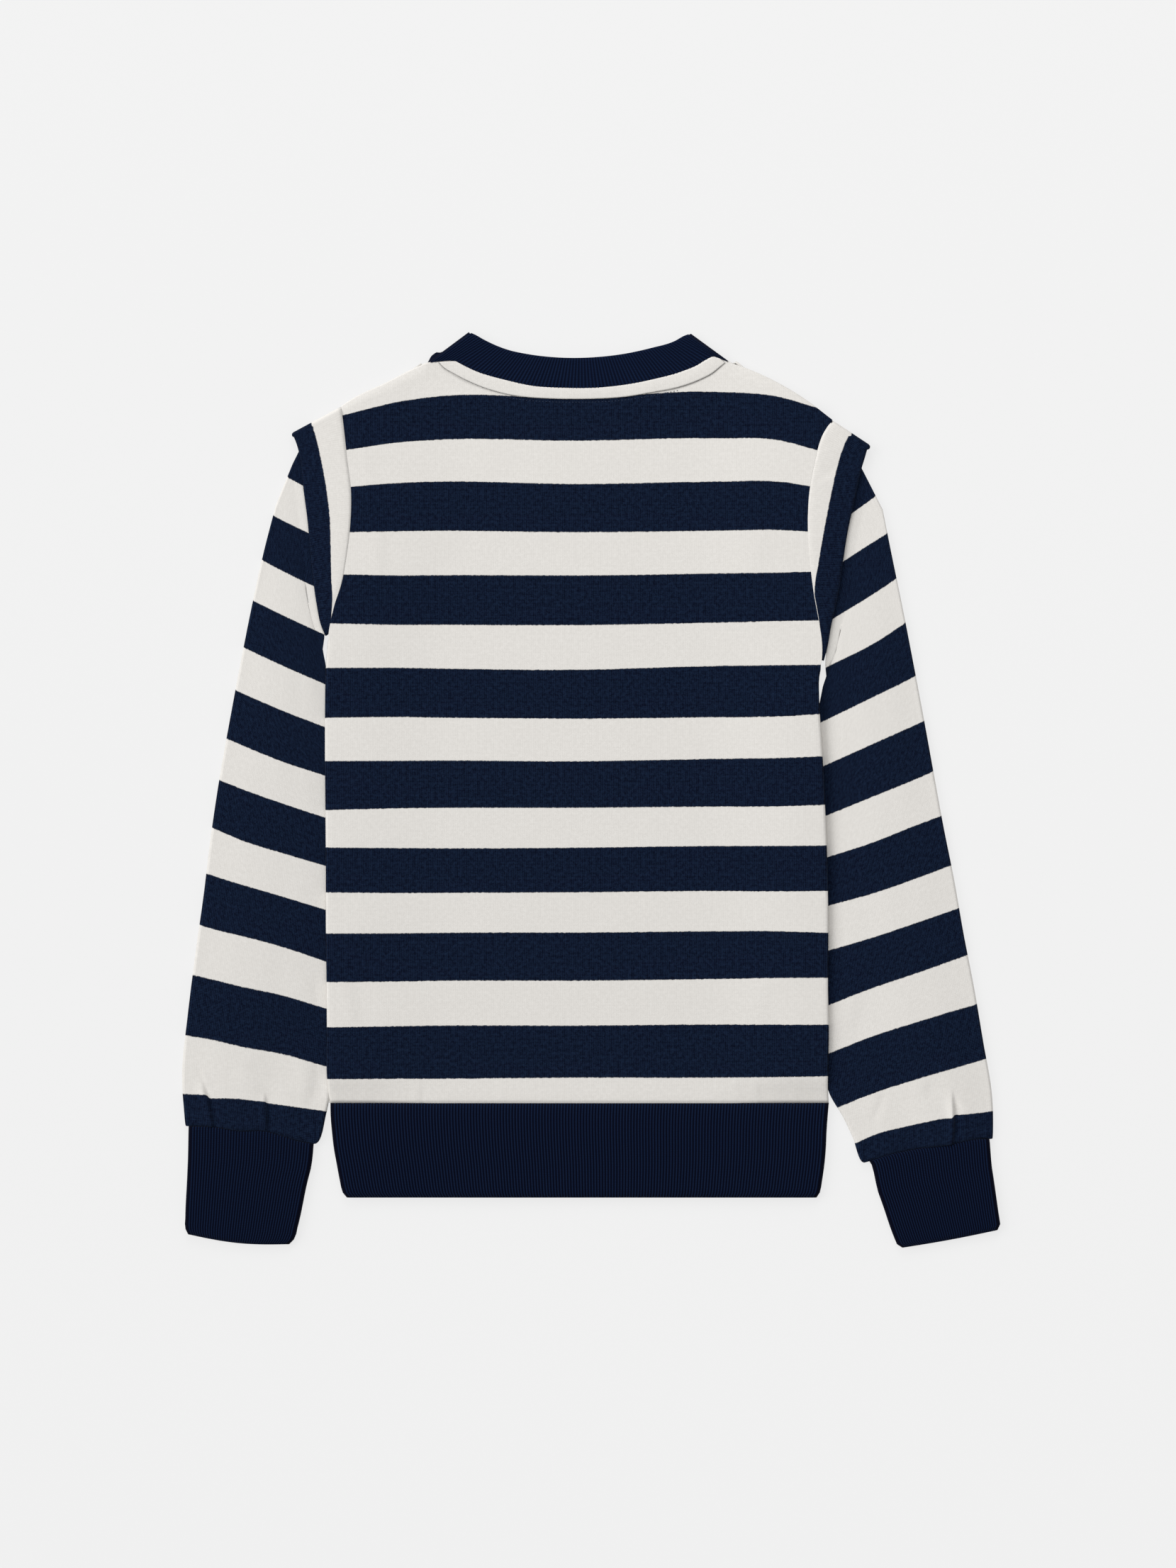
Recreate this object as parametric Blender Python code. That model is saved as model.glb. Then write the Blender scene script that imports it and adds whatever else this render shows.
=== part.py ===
"""Striped sweatshirt lying flat with its back side up.

Sizes are millimetres: x to the right, y towards the neck, z up from the floor.
Left and right are the wearer's, which from behind are also left and right as seen.
"""
import math

import bpy
import numpy as np

MM = 0.001

# Cloth thickness and seams
JERSEY = 1.5
RIB_KNIT = 2.2
FLANGE_CLOTH = 2.2
STRIP_CLOTH = 0.9
SEAM_GAP = 0.35
NECK_GAP = 0.5
FOLD_WIDTH = 2.0

# Ribs of the bands
RIB_RAISE = 0.35
HEM_RIBS = 165
CUFF_RIBS = 42
NECK_RIBS = 84

# Heights of a wall's middle above the floor
FRONT_LEVEL = JERSEY / 2
BACK_LEVEL = 4.35
ARMHOLE_LEVEL = 6.2
SIDE_LOFT = 2.9
SIDE_LIFT = 4.8
UNDERARM_LIFT = 2.0
SIDE_FLAT = 14.0
SIDE_RAMP = 36.0
UNDERARM_LEFT = 98.0
UNDERARM_RIGHT = 80.5

# Body rows from the hem seam to the underarms, then up the armholes to the shoulder points:
# x and y of the left edge, x and y of the right edge, share of the neck shape on back and front
BODY_ROWS = [
    (-173.0, -207.5, 157.5, -207.5, 0.0, 0.0),
    (-174.0, -196.0, 157.5, -196.0, 0.0, 0.0),
    (-174.7, -183.0, 157.5, -183.0, 0.0, 0.0),
    (-175.3, -168.0, 157.5, -168.0, 0.0, 0.0),
    (-176.0, -130.0, 156.5, -130.0, 0.0, 0.0),
    (-176.0, -70.0, 156.5, -70.0, 0.0, 0.0),
    (-176.5, -12.0, 155.0, -12.0, 0.0, 0.0),
    (-176.5, 30.0, 153.5, 25.0, 0.0, 0.0),
    (-176.5, 58.0, 153.0, 45.0, 0.0, 0.0),
    (-176.5, 74.0, 153.0, 57.0, 0.0, 0.0),
    (-176.0, 98.0, 152.0, 80.5, 0.0, 0.0),
    (-173.5, 107.5, 153.0, 92.0, 0.0, 0.0),
    (-171.0, 120.5, 151.0, 110.0, 0.0, 0.0),
    (-166.0, 136.0, 147.5, 129.5, 0.0, 0.02),
    (-162.5, 154.5, 145.0, 150.0, 0.05, 0.07),
    (-160.0, 176.0, 143.5, 172.0, 0.1, 0.2),
    (-159.5, 197.0, 144.0, 194.5, 0.25, 0.45),
    (-162.0, 219.0, 147.5, 215.5, 0.45, 0.7),
    (-164.5, 241.5, 153.5, 236.0, 0.75, 0.95),
    (-165.3, 249.0, 156.6, 241.0, 0.9, 0.985),
    (-166.0, 254.5, 159.5, 245.5, 1.0, 1.0),
]
UNDERARM_ROW = 10

# Top edge of the back: x and y along the shoulders and the back neckline
TOP_EDGE = [
    (-166.0, 254.5), (-136.5, 270.0), (-109.5, 282.5), (-90.0, 283.5), (-72.5, 276.0),
    (-44.5, 268.5), (-10.0, 266.0), (21.5, 268.5), (54.5, 275.5), (76.0, 284.0),
    (91.5, 283.5), (123.5, 270.0), (159.5, 245.5),
]
NECK_LEFT = (-109.5, 282.5)
NECK_RIGHT = (91.5, 283.5)
# Front neckline, lower than the back one and hidden under it
FRONT_NECKLINE = [
    (-109.5, 282.5), (-104.0, 252.0), (-92.0, 222.0), (-66.0, 198.0), (-38.0, 188.0), (-10.0, 185.0),
    (18.0, 188.0), (46.0, 198.0), (72.0, 222.0), (85.0, 252.0), (91.5, 283.5),
]
# Lower edge of the back neck strip: x and distance below the neckline
STRIP_WIDTH = [
    (-109.5, 2.2), (-100.0, 3.0), (-90.0, 8.5), (-72.5, 9.3), (-44.5, 8.4), (-10.0, 6.6),
    (21.5, 8.0), (54.5, 9.3), (76.0, 9.5), (86.0, 5.0), (91.5, 2.2),
]
# Free edge of the neckband, back half and hidden front half: x and y
NECK_FREE_BACK = [
    (-82.5, 302.5), (-71.5, 298.5), (-54.5, 291.5), (-44.5, 289.0), (-10.0, 286.3),
    (21.5, 289.0), (40.0, 293.0), (54.5, 297.0), (66.0, 302.5),
]
NECK_FREE_FRONT = [
    (-82.5, 302.5), (-83.0, 256.0), (-74.0, 234.0), (-55.0, 216.0), (-33.0, 208.0), (-10.0, 205.5),
    (13.0, 208.0), (35.0, 216.0), (54.0, 234.0), (64.5, 256.0), (66.0, 302.5),
]

# Columns across the body: distance in from each side, then shares of what is left
EDGE_COLUMNS = [0.0, 0.6, 2.0, 8.0, 14.0, 21.0, 28.0, 38.0]
MIDDLE_COLUMNS = [0.0741, 0.13, 0.2, 0.28, 0.36, 0.44, 0.52, 0.6, 0.68, 0.76, 0.83, 0.8798]
NECK_COLUMNS = (8, 19)

# Flange of each armhole from the underarm to the shoulder: seam x and y, free edge x and y
FLANGE_LEFT = [
    (-174.7, 103.0, -176.4, 102.0),
    (-173.5, 107.5, -179.0, 108.0),
    (-171.0, 120.5, -182.0, 121.5),
    (-166.0, 136.0, -184.5, 139.0),
    (-162.5, 154.5, -186.5, 159.5),
    (-160.0, 176.0, -188.5, 180.5),
    (-159.5, 197.0, -191.0, 199.5),
    (-162.0, 219.0, -193.0, 219.0),
    (-164.5, 241.5, -196.2, 231.0),
    (-165.6, 250.5, -197.5, 234.0),
    (-166.0, 254.5, -198.5, 237.0),
]
FLANGE_RIGHT = [
    (152.5, 86.0, 154.0, 85.5),
    (153.0, 92.0, 155.9, 92.5),
    (151.0, 110.0, 159.0, 109.5),
    (147.5, 129.5, 163.5, 129.5),
    (145.0, 150.0, 166.5, 150.0),
    (143.5, 172.0, 170.0, 172.0),
    (144.0, 194.5, 174.5, 192.5),
    (147.5, 215.5, 178.5, 211.0),
    (153.5, 236.0, 181.3, 220.5),
    (157.8, 242.7, 182.7, 225.5),
    (159.5, 245.5, 184.5, 229.0),
]
FLANGE_SLOPE = (0.8, 3.2)
FLANGE_COLUMNS = 6

# Sleeve stations below the flange: outer fold x and y, inner fold x and y, loft of the middle
SLEEVE_LEFT = [
    (-209.0, 189.0, -178.5, 78.0, 0.4),
    (-217.5, 158.0, -177.8, 65.0, 1.0),
    (-225.0, 124.0, -174.0, 48.0, 1.6),
    (-232.5, 86.5, -171.0, 25.5, 2.0),
    (-240.0, 46.5, -169.0, -2.0, 2.0),
    (-247.0, 9.0, -168.0, -33.5, 2.0),
    (-253.5, -31.0, -168.0, -67.5, 2.0),
    (-259.5, -71.0, -169.5, -104.0, 2.0),
    (-265.0, -111.0, -172.5, -138.0, 2.0),
    (-269.5, -153.0, -176.8, -169.5, 2.0),
    (-271.9, -186.0, -176.5, -200.0, 2.0),
    (-271.5, -209.5, -177.5, -219.0, 1.5),
    (-269.0, -223.5, -182.0, -234.0, 0.8),
]
SLEEVE_RIGHT = [
    (192.0, 186.0, 154.6, 60.5, 0.4),
    (198.5, 154.5, 154.4, 49.5, 1.0),
    (205.5, 121.5, 150.0, 29.0, 1.6),
    (213.0, 85.5, 147.0, 7.5, 2.0),
    (220.0, 49.0, 145.0, -18.0, 2.0),
    (227.0, 11.5, 144.0, -47.5, 2.0),
    (233.5, -24.0, 144.5, -79.5, 2.0),
    (240.5, -59.0, 147.0, -112.0, 2.0),
    (247.0, -96.0, 151.5, -143.0, 2.0),
    (254.0, -132.0, 158.8, -171.0, 2.0),
    (260.0, -167.5, 159.2, -200.0, 2.0),
    (265.5, -200.0, 167.0, -220.0, 1.8),
    (266.5, -224.0, 177.0, -241.5, 1.2),
    (266.0, -231.5, 181.0, -246.5, 0.8),
]
SLEEVE_LOFT = 2.6
SLEEVE_UNDER_FLANGE = 2.5
HEAD_TOPS_LEFT = (249.0, 229.0, 219.0)
HEAD_ENDS_LEFT = (100.0, 97.0, 92.5)
HEAD_TOPS_RIGHT = (240.5, 217.5, 207.5)
HEAD_ENDS_RIGHT = (82.0, 79.0, 73.0)

# Cuff stations: outer x and y, inner x and y
CUFF_LEFT = [
    (-267.3, -224.1, -184.2, -234.9),
    (-268.3, -256.0, -188.5, -262.0),
    (-270.0, -294.5, -197.0, -301.5),
]
CUFF_RIGHT = [
    (263.8, -232.6, 182.4, -247.6),
    (267.0, -259.0, 192.0, -275.0),
    (271.5, -290.5, 204.0, -303.5),
]
CUFF_LOFT = 3.4

# Hem band rows: y, left x, right x
HEM_ROWS = [
    (-207.85, -173.0, 157.5),
    (-238.0, -171.0, 155.5),
    (-270.5, -165.5, 151.0),
]
HEM_LOFT = 3.3

COLOURS = {
    "back_panel": (0.72, 0.70, 0.67),
    "front_panel": (0.72, 0.70, 0.67),
    "sleeve_left": (0.70, 0.67, 0.65),
    "sleeve_right": (0.70, 0.67, 0.65),
    "flange_left": (0.012, 0.02, 0.045),
    "flange_right": (0.012, 0.02, 0.045),
    "neckband": (0.007, 0.012, 0.026),
    "back_neck_strip": (0.75, 0.74, 0.71),
    "hem_band": (0.007, 0.012, 0.026),
    "cuff_left": (0.007, 0.012, 0.026),
    "cuff_right": (0.007, 0.012, 0.026),
}


def smooth(start, end, value):
    """Soft step from 0 at start to 1 at end."""
    share = np.clip((value - start) / (end - start), 0.0, 1.0)
    return share * share * (3.0 - 2.0 * share)


def along(table, value, column=1):
    """Read one column of a table at a value of its first column."""
    rows = sorted(table)
    return np.interp(value, [row[0] for row in rows], [row[column] for row in rows])


def add_object(name, points, faces):
    """Make a mesh object with its own plain material, facing outwards."""
    a, b, c = (np.array([points[face[i]] for face in faces]) for i in range(3))
    if np.einsum("ij,ij->", a, np.cross(b, c)) < 0:
        faces = [face[::-1] for face in faces]
    mesh = bpy.data.meshes.new(name)
    mesh.from_pydata([tuple(point * MM) for point in points], [], faces)
    mesh.update()
    material = bpy.data.materials.new(name)
    material.use_nodes = True
    shader = material.node_tree.nodes["Principled BSDF"]
    shader.inputs["Base Color"].default_value = (*COLOURS[name], 1.0)
    shader.inputs["Roughness"].default_value = 0.9
    mesh.materials.append(material)
    bpy.context.scene.collection.objects.link(bpy.data.objects.new(name, mesh))


def cloth(name, flat, level, turn, out, thick, raised=0.0, ring=False):
    """Close a wall of cloth round a grid of middle points.

    flat holds x and y, level z, turn the tilt of the wall (90 degrees faces up), out the
    level direction it turns towards. A ring joins its last column to its first.
    """
    rows, columns = level.shape
    normal = np.dstack([out * np.cos(turn)[..., None], np.sin(turn)])
    middle = np.dstack([flat, level])
    half = np.broadcast_to(np.asarray(thick) / 2.0, level.shape)
    extra = np.broadcast_to(np.asarray(raised), level.shape)
    outer = middle + normal * (half + extra)[..., None]
    inner = middle - normal * half[..., None]
    points = list(outer.reshape(-1, 3)) + list(inner.reshape(-1, 3))
    shift = rows * columns
    faces = []

    def quad(a, b, c, d):
        faces.append((a, b, c))
        faces.append((a, c, d))

    spans = columns if ring else columns - 1
    for row in range(rows - 1):
        for column in range(spans):
            after = (column + 1) % columns
            a = row * columns + column
            b = row * columns + after
            c = (row + 1) * columns + after
            d = (row + 1) * columns + column
            quad(a, b, c, d)
            quad(shift + d, shift + c, shift + b, shift + a)
    for column in range(spans):
        after = (column + 1) % columns
        last = (rows - 1) * columns
        quad(shift + column, shift + after, after, column)
        quad(last + column, last + after, shift + last + after, shift + last + column)
    if not ring:
        for row in range(rows - 1):
            a = row * columns
            b = (row + 1) * columns
            quad(a, b, shift + b, shift + a)
            a += columns - 1
            b += columns - 1
            quad(shift + a, shift + b, b, a)
    add_object(name, points, faces)


def side_lift(y, underarm):
    """Height of the body's side over the sleeve that lies under it."""
    rise = UNDERARM_LIFT * smooth(underarm + 20.0, underarm, y)
    rise += (SIDE_LIFT - UNDERARM_LIFT) * smooth(underarm, underarm - 24.0, y)
    return rise * smooth(-196.0, -170.0, y)


def side_back(y, underarm):
    """Height of the back's wall at its side."""
    folded = FRONT_LEVEL + side_lift(y, underarm) + SIDE_LOFT
    return ARMHOLE_LEVEL + (folded - ARMHOLE_LEVEL) * smooth(underarm, underarm - 24.0, y)


def body_levels(from_left, from_right, y):
    """Heights of the front's and the back's walls at distances in from the sides."""
    left = smooth(SIDE_RAMP, SIDE_FLAT, from_left)
    right = smooth(SIDE_RAMP, SIDE_FLAT, from_right)
    front = FRONT_LEVEL + left * side_lift(y, UNDERARM_LEFT) + right * side_lift(y, UNDERARM_RIGHT)
    back = BACK_LEVEL + left * (side_back(y, UNDERARM_LEFT) - BACK_LEVEL)
    back = back + right * (side_back(y, UNDERARM_RIGHT) - BACK_LEVEL)
    return front, back


def front_edge():
    """Top edge of the front: the shoulders of the back with the lower neckline."""
    shoulders = [point for point in TOP_EDGE if point[0] < NECK_LEFT[0] or point[0] > NECK_RIGHT[0]]
    return sorted(shoulders + FRONT_NECKLINE)


def body_grid(top_edge, share_column):
    """Flat points of a body panel, row by row from the hem to the top edge."""
    first, last = BODY_ROWS[-1], BODY_ROWS[-1]
    chord = [(first[0], first[1]), (last[2], last[3])]
    rows = [tuple(row) + (0.0,) for row in BODY_ROWS[:-1]]
    rows += [BODY_ROWS[-1] + (drop,) for drop in (FOLD_WIDTH, 0.6, 0.0)]
    flat = []
    for row in rows:
        left, right = row[0] + JERSEY / 2, row[2] - JERSEY / 2
        inner = right - left - 2 * EDGE_COLUMNS[-1]
        across = [left + step for step in EDGE_COLUMNS]
        across += [left + EDGE_COLUMNS[-1] + share * inner for share in MIDDLE_COLUMNS]
        across += [right - step for step in reversed(EDGE_COLUMNS)]
        across = np.array(across)
        share = (across - left) / (right - left)
        top_x = first[0] + share * (last[2] - first[0])
        shape = along(top_edge, top_x) - along(chord, top_x)
        y = row[1] + share * (row[3] - row[1]) + row[share_column] * shape - row[6]
        flat.append(np.column_stack([across, y]))
    return np.array(flat)


def body_panel(name, flat, facing):
    """Back (facing 1) or front (facing -1) with rounded side and shoulder folds."""
    rows, columns = flat.shape[:2]
    edges = flat[:, [0, -1], 0]
    from_left = flat[..., 0] - edges[:, :1]
    from_right = edges[:, 1:] - flat[..., 0]
    front, back = body_levels(from_left, from_right, flat[..., 1])
    turn = np.full((rows, columns), math.pi / 2)
    out = np.zeros((rows, columns, 2))
    angles = (0.0, math.pi / 4)
    for step, angle in enumerate(angles):
        turn[:UNDERARM_ROW + 1, step] = angle
        turn[:UNDERARM_ROW + 1, columns - 1 - step] = angle
        turn[rows - 1 - step, :NECK_COLUMNS[0] + 1] = angle
        turn[rows - 1 - step, NECK_COLUMNS[1]:] = angle
    middle = columns // 2
    out[:, :middle, 0] = -1.0
    out[:, middle:, 0] = 1.0
    out[rows - 3:, :middle] = (-0.42, 0.91)
    out[rows - 3:, middle:] = (0.45, 0.89)
    flat = flat - out * (np.cos(turn) * (turn < 1.5) * (np.arange(rows) > UNDERARM_ROW)[:, None]
                         * JERSEY / 2)[..., None]
    centre = (front + back) / 2
    half = (back - front) / 2 - SEAM_GAP / 2
    level = centre + facing * (SEAM_GAP / 2 + half * np.sin(turn))
    cloth(name, flat, level, turn * facing, out, JERSEY)
    return flat, level


def neck_strip(flat, level):
    """Strip sewn on the back along the neckline, made from the back's points moved out."""
    first, last = NECK_COLUMNS[0] + 1, NECK_COLUMNS[1]
    x = flat[-1, first:last, 0]
    top = flat[-1, first:last, 1]
    low = top - along(STRIP_WIDTH, x)
    points = np.array([np.column_stack([x, low + share * (top - low)]) for share in (0.0, 0.5, 1.0)])
    height = level[-1, first:last] + JERSEY / 2 + SEAM_GAP + STRIP_CLOTH / 2
    height = np.tile(height, (3, 1))
    up = np.full(height.shape, math.pi / 2)
    cloth("back_neck_strip", points, height, up, np.zeros(points.shape), STRIP_CLOTH)


def spaced(points, count):
    """Even points along a line of points."""
    points = np.asarray(points, dtype=float)
    steps = np.r_[0.0, np.cumsum(np.hypot(*np.diff(points, axis=0).T))]
    places = np.linspace(0.0, steps[-1], count)
    return np.column_stack([np.interp(places, steps, points[:, axis]) for axis in (0, 1)])


def moved_in(points, distance, side):
    """Move a line of points square to itself, to its left (side 1) or right (side -1)."""
    along_line = np.gradient(points, axis=0)
    along_line /= np.hypot(along_line[:, 0], along_line[:, 1])[:, None]
    square = np.column_stack([-along_line[:, 1], along_line[:, 0]])
    return points + side * distance * square


def neckband(back_flat, front_flat):
    """Ribbed ring from the neckline up to the free edge, folded at the neck points."""
    first, last = NECK_COLUMNS
    half = RIB_KNIT / 2
    inset = half + FOLD_WIDTH
    back_seam = moved_in(back_flat[-1, first:last + 1], NECK_GAP, 1)
    front_seam = moved_in(front_flat[-1, first:last + 1], 2 * NECK_GAP, 1)
    lines = []
    for seam, free, count, start in (
        (back_seam, NECK_FREE_BACK, 2 * NECK_RIBS + 1, 6),
        (front_seam, NECK_FREE_FRONT, 15, 12),
    ):
        seam_points = spaced(seam, 400)
        free_points = spaced(free, 400)
        keep = np.linspace(start, 399 - start, count).astype(int)
        lines.append((seam_points[keep], free_points[keep]))
    (back_low, back_high), (front_low, front_high) = lines
    columns = []

    def add(low, high, level, angle, out_low, out_high, raise_by=0.0):
        columns.append(((low, high), level, angle, (out_low, out_high), raise_by))

    def add_fold(neck_point, free_point, side, square, angles):
        for angle in angles:
            step = inset - FOLD_WIDTH * math.cos(angle)
            low = np.array(neck_point) + (-side * step, NECK_GAP)
            high = np.array(free_point) - step * np.array(square)
            add(low, high, centre + reach * math.sin(angle), angle, (side, 0.0), square)

    top, bottom = BACK_LEVEL, half
    centre = (top + bottom) / 2
    reach = (top - bottom) / 2
    flat_out = (0.0, 0.0)
    quarter = math.pi / 4
    for index, (low, high) in enumerate(zip(back_low, back_high)):
        add(low, high, top, 2 * quarter, flat_out, flat_out, RIB_RAISE * (index % 2))
    add_fold(NECK_RIGHT, NECK_FREE_BACK[-1], 1, (0.83, 0.55), (quarter, 0.0, -quarter))
    for low, high in zip(front_low[::-1], front_high[::-1]):
        add(low, high, bottom, -2 * quarter, flat_out, flat_out)
    add_fold(NECK_LEFT, NECK_FREE_BACK[0], -1, (-0.6, 0.8), (-quarter, 0.0, quarter))
    flat = np.array([[column[0][end] for column in columns] for end in (0, 1)])
    level = np.array([[column[1] for column in columns]] * 2)
    turn = np.array([[column[2] for column in columns]] * 2)
    out = np.array([[column[3][end] for column in columns] for end in (0, 1)])
    raised = np.array([[column[4] for column in columns]] * 2)
    cloth("neckband", flat, level, turn, out, RIB_KNIT, raised, ring=True)


def flange(name, table, side, underarm):
    """Double strip in the armhole seam, over the sleeve head and folded at the shoulder."""
    table = np.array(table)
    slope_start, slope_end = FLANGE_SLOPE
    over = FRONT_LEVEL + SLEEVE_UNDER_FLANGE + SLEEVE_LOFT + JERSEY / 2 + SEAM_GAP + FLANGE_CLOTH / 2
    under = FLANGE_CLOTH / 2
    seam = table[:, :2] + (side * SEAM_GAP, 0.0)
    edge = table[:, 2:]
    seam[-1] += (side * 0.1, 0.0)
    width = np.hypot(*(edge - seam).T)
    rows = len(table)
    distance = np.zeros((rows, FLANGE_COLUMNS))
    raise_share = np.zeros((rows, FLANGE_COLUMNS))
    for index, reach in enumerate(width):
        start = min(slope_start, reach * 0.2)
        end = min(slope_end, reach * 0.7)
        distance[index] = np.r_[0.0, start, np.linspace(end, reach, FLANGE_COLUMNS - 2)]
        raise_share[index] = smooth(start, end, distance[index])
    share = distance / width[:, None]
    flat = seam[:, None] + share[..., None] * (edge - seam)[:, None]
    apart = smooth(underarm, underarm + 10.0, seam[:, 1])
    lift = side_lift(seam[:, 1], underarm)
    body_middle = (ARMHOLE_LEVEL + FRONT_LEVEL + lift) / 2
    seam_top = body_middle + (ARMHOLE_LEVEL - body_middle) * apart
    seam_low = body_middle + (np.maximum(under, FRONT_LEVEL + lift) - body_middle) * apart
    high = seam_top[:, None] + (over - seam_top[:, None]) * raise_share
    low = seam_low[:, None] + (under - seam_low[:, None]) * raise_share
    along_fold = (edge[-1] - seam[-1]) / width[-1]
    fold = np.array([side * -along_fold[1], abs(along_fold[0])])
    thickness = np.where(np.arange(rows) == 0, 1.1, FLANGE_CLOTH)
    grid, level, turn, out, thick = [], [], [], [], []

    def add(points, heights, angle, direction, cloth_thick):
        grid.append(points)
        level.append(heights)
        turn.append(np.full(FLANGE_COLUMNS, angle))
        out.append(np.tile(direction, (FLANGE_COLUMNS, 1)))
        thick.append(np.full(FLANGE_COLUMNS, cloth_thick))

    for index in range(rows - 1):
        add(flat[index], high[index], math.pi / 2, (0.0, 0.0), thickness[index])
    middle = (high[-1] + low[-1]) / 2
    reach = (high[-1] - low[-1]) / 2
    for angle in (math.pi / 4, 0.0, -math.pi / 4):
        inwards = FLANGE_CLOTH / 2 + 3.4 * (1.0 - math.cos(angle))
        points = flat[-1] - (0.0, inwards / fold[1])
        add(points, middle + reach * math.sin(angle), angle, fold, FLANGE_CLOTH)
    for index in reversed(range(rows - 1)):
        add(flat[index], low[index], -math.pi / 2, (0.0, 0.0), thickness[index])
    cloth(name, np.array(grid), np.array(level), np.array(turn), np.array(out), np.array(thick))


def tube_columns(top_count, bottom_count):
    """Columns round a flattened tube: end of the section, distance share and tilt."""
    quarter = math.pi / 4
    columns = [("outer", 0.0, 0.0), ("outer", 0.0, quarter)]
    columns += [("span", share, 2 * quarter) for share in np.linspace(0.0, 1.0, top_count)]
    columns += [("inner", 0.0, quarter), ("inner", 0.0, 0.0), ("inner", 0.0, -quarter)]
    columns += [("span", share, -2 * quarter) for share in np.linspace(1.0, 0.0, bottom_count)]
    columns += [("outer", 0.0, -quarter)]
    return columns


def tube(name, lines, levels, thick, top_count, bottom_count, ribbed=False):
    """Flattened tube from a list of lines across it and the heights of its two walls.

    A line turns shares from the outer to the inner fold into flat points; levels turns a
    station number and shares into the low and the high wall's heights.
    """
    columns = tube_columns(top_count, bottom_count)
    turn = np.array([column[2] for column in columns])
    grid, level, out = [], [], []
    for station, line in enumerate(lines):
        ends = line(np.array([0.0, 1.0]))
        length = np.hypot(*(ends[1] - ends[0]))
        direction = (ends[1] - ends[0]) / length
        places = []
        for end, share, angle in columns:
            step = thick / 2 + FOLD_WIDTH * (1.0 - math.cos(angle))
            if end == "outer":
                places.append(step)
            elif end == "inner":
                places.append(length - step)
            else:
                room = length - thick - 2 * FOLD_WIDTH
                places.append(thick / 2 + FOLD_WIDTH + share * room)
        shares = np.array(places) / length
        low, high = levels(station, shares)
        grid.append(line(shares))
        level.append((low + high) / 2 + (high - low) / 2 * np.sin(turn))
        towards = [direction if column[0] == "inner" else -direction for column in columns]
        out.append(np.array(towards))
    raised = np.zeros(len(columns))
    if ribbed:
        raised[3:top_count + 1:2] = RIB_RAISE
    turns = np.tile(turn, (len(lines), 1))
    cloth(name, np.array(grid), np.array(level), turns, np.array(out), thick,
          np.tile(raised, (len(lines), 1)), ring=True)


def straight(outer_x, outer_y, inner_x, inner_y):
    """Straight line across a tube."""
    start = np.array([outer_x, outer_y])
    end = np.array([inner_x, inner_y])
    return lambda share: start + np.asarray(share)[:, None] * (end - start)


def curved(edge_table, top_y, end_y, away, away_end, side):
    """Line across a sleeve head that keeps a distance from an edge given by y and x."""
    def line(share):
        y = top_y + share * (end_y - top_y)
        offset = away + (away_end - away) * smooth(0.82, 1.0, share)
        x = along(edge_table, y) + side * offset
        return np.column_stack([x, y])
    return line


def sleeve(name, table, flange_table, tops, ends, side):
    """Sleeve from under the flange to the cuff seam."""
    armhole = [(row[1], row[0]) for row in flange_table]
    free_edge = [(row[3], row[2]) for row in flange_table]
    lines = [
        curved(armhole, tops[0], ends[0], 3.6, 2.6, side),
        curved(free_edge, tops[1], ends[1], 0.6, 1.5, side),
        curved(free_edge, tops[2], ends[2], 6.0, 2.2, side),
    ]
    lines += [straight(*row[:4]) for row in table]
    puffs = [0.0, 0.0, 0.2] + [row[4] for row in table]

    def levels(station, share):
        low = np.full(share.shape, FRONT_LEVEL)
        if station < 2:
            low = low + SLEEVE_UNDER_FLANGE
        puff = puffs[station] * smooth(0.0, 0.3, share) * smooth(0.75, 0.45, share)
        slim = 0.7 * smooth(0.8, 0.95, share) * (station < 2)
        return low, low + SLEEVE_LOFT + puff - slim

    tube(name, lines, levels, JERSEY, 10, 7)


def band(name, lines, loft, rib_count):
    """Ribbed band: ribs on its upper side, a plain under side on the floor."""
    def levels(station, share):
        low = np.full(share.shape, RIB_KNIT / 2)
        return low, low + loft
    tube(name, lines, levels, RIB_KNIT, 2 * rib_count + 1, 9, ribbed=True)


def main():
    for thing in list(bpy.data.objects):
        bpy.data.objects.remove(thing)
    back_flat, back_level = body_panel("back_panel", body_grid(TOP_EDGE, 4), 1)
    front_flat, front_level = body_panel("front_panel", body_grid(front_edge(), 5), -1)
    neck_strip(back_flat, back_level)
    neckband(back_flat, front_flat)
    flange("flange_left", FLANGE_LEFT, -1, UNDERARM_LEFT)
    flange("flange_right", FLANGE_RIGHT, 1, UNDERARM_RIGHT)
    sleeve("sleeve_left", SLEEVE_LEFT, FLANGE_LEFT, HEAD_TOPS_LEFT, HEAD_ENDS_LEFT, -1)
    sleeve("sleeve_right", SLEEVE_RIGHT, FLANGE_RIGHT, HEAD_TOPS_RIGHT, HEAD_ENDS_RIGHT, 1)
    band("cuff_left", [straight(*row) for row in CUFF_LEFT], CUFF_LOFT, CUFF_RIBS)
    band("cuff_right", [straight(*row) for row in CUFF_RIGHT], CUFF_LOFT, CUFF_RIBS)
    band("hem_band", [straight(row[1], row[0], row[2], row[0]) for row in HEM_ROWS], HEM_LOFT, HEM_RIBS)


main()
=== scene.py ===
"""Looks of the striped sweatshirt: knit shells, stripes, ribs, creases, stitches, light and camera.

Sizes are millimetres until a mesh is made: x to the right, y towards the neck, z up from the floor.
Left and right are the wearer's, which from behind are also left and right as seen.
"""
import math

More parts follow.
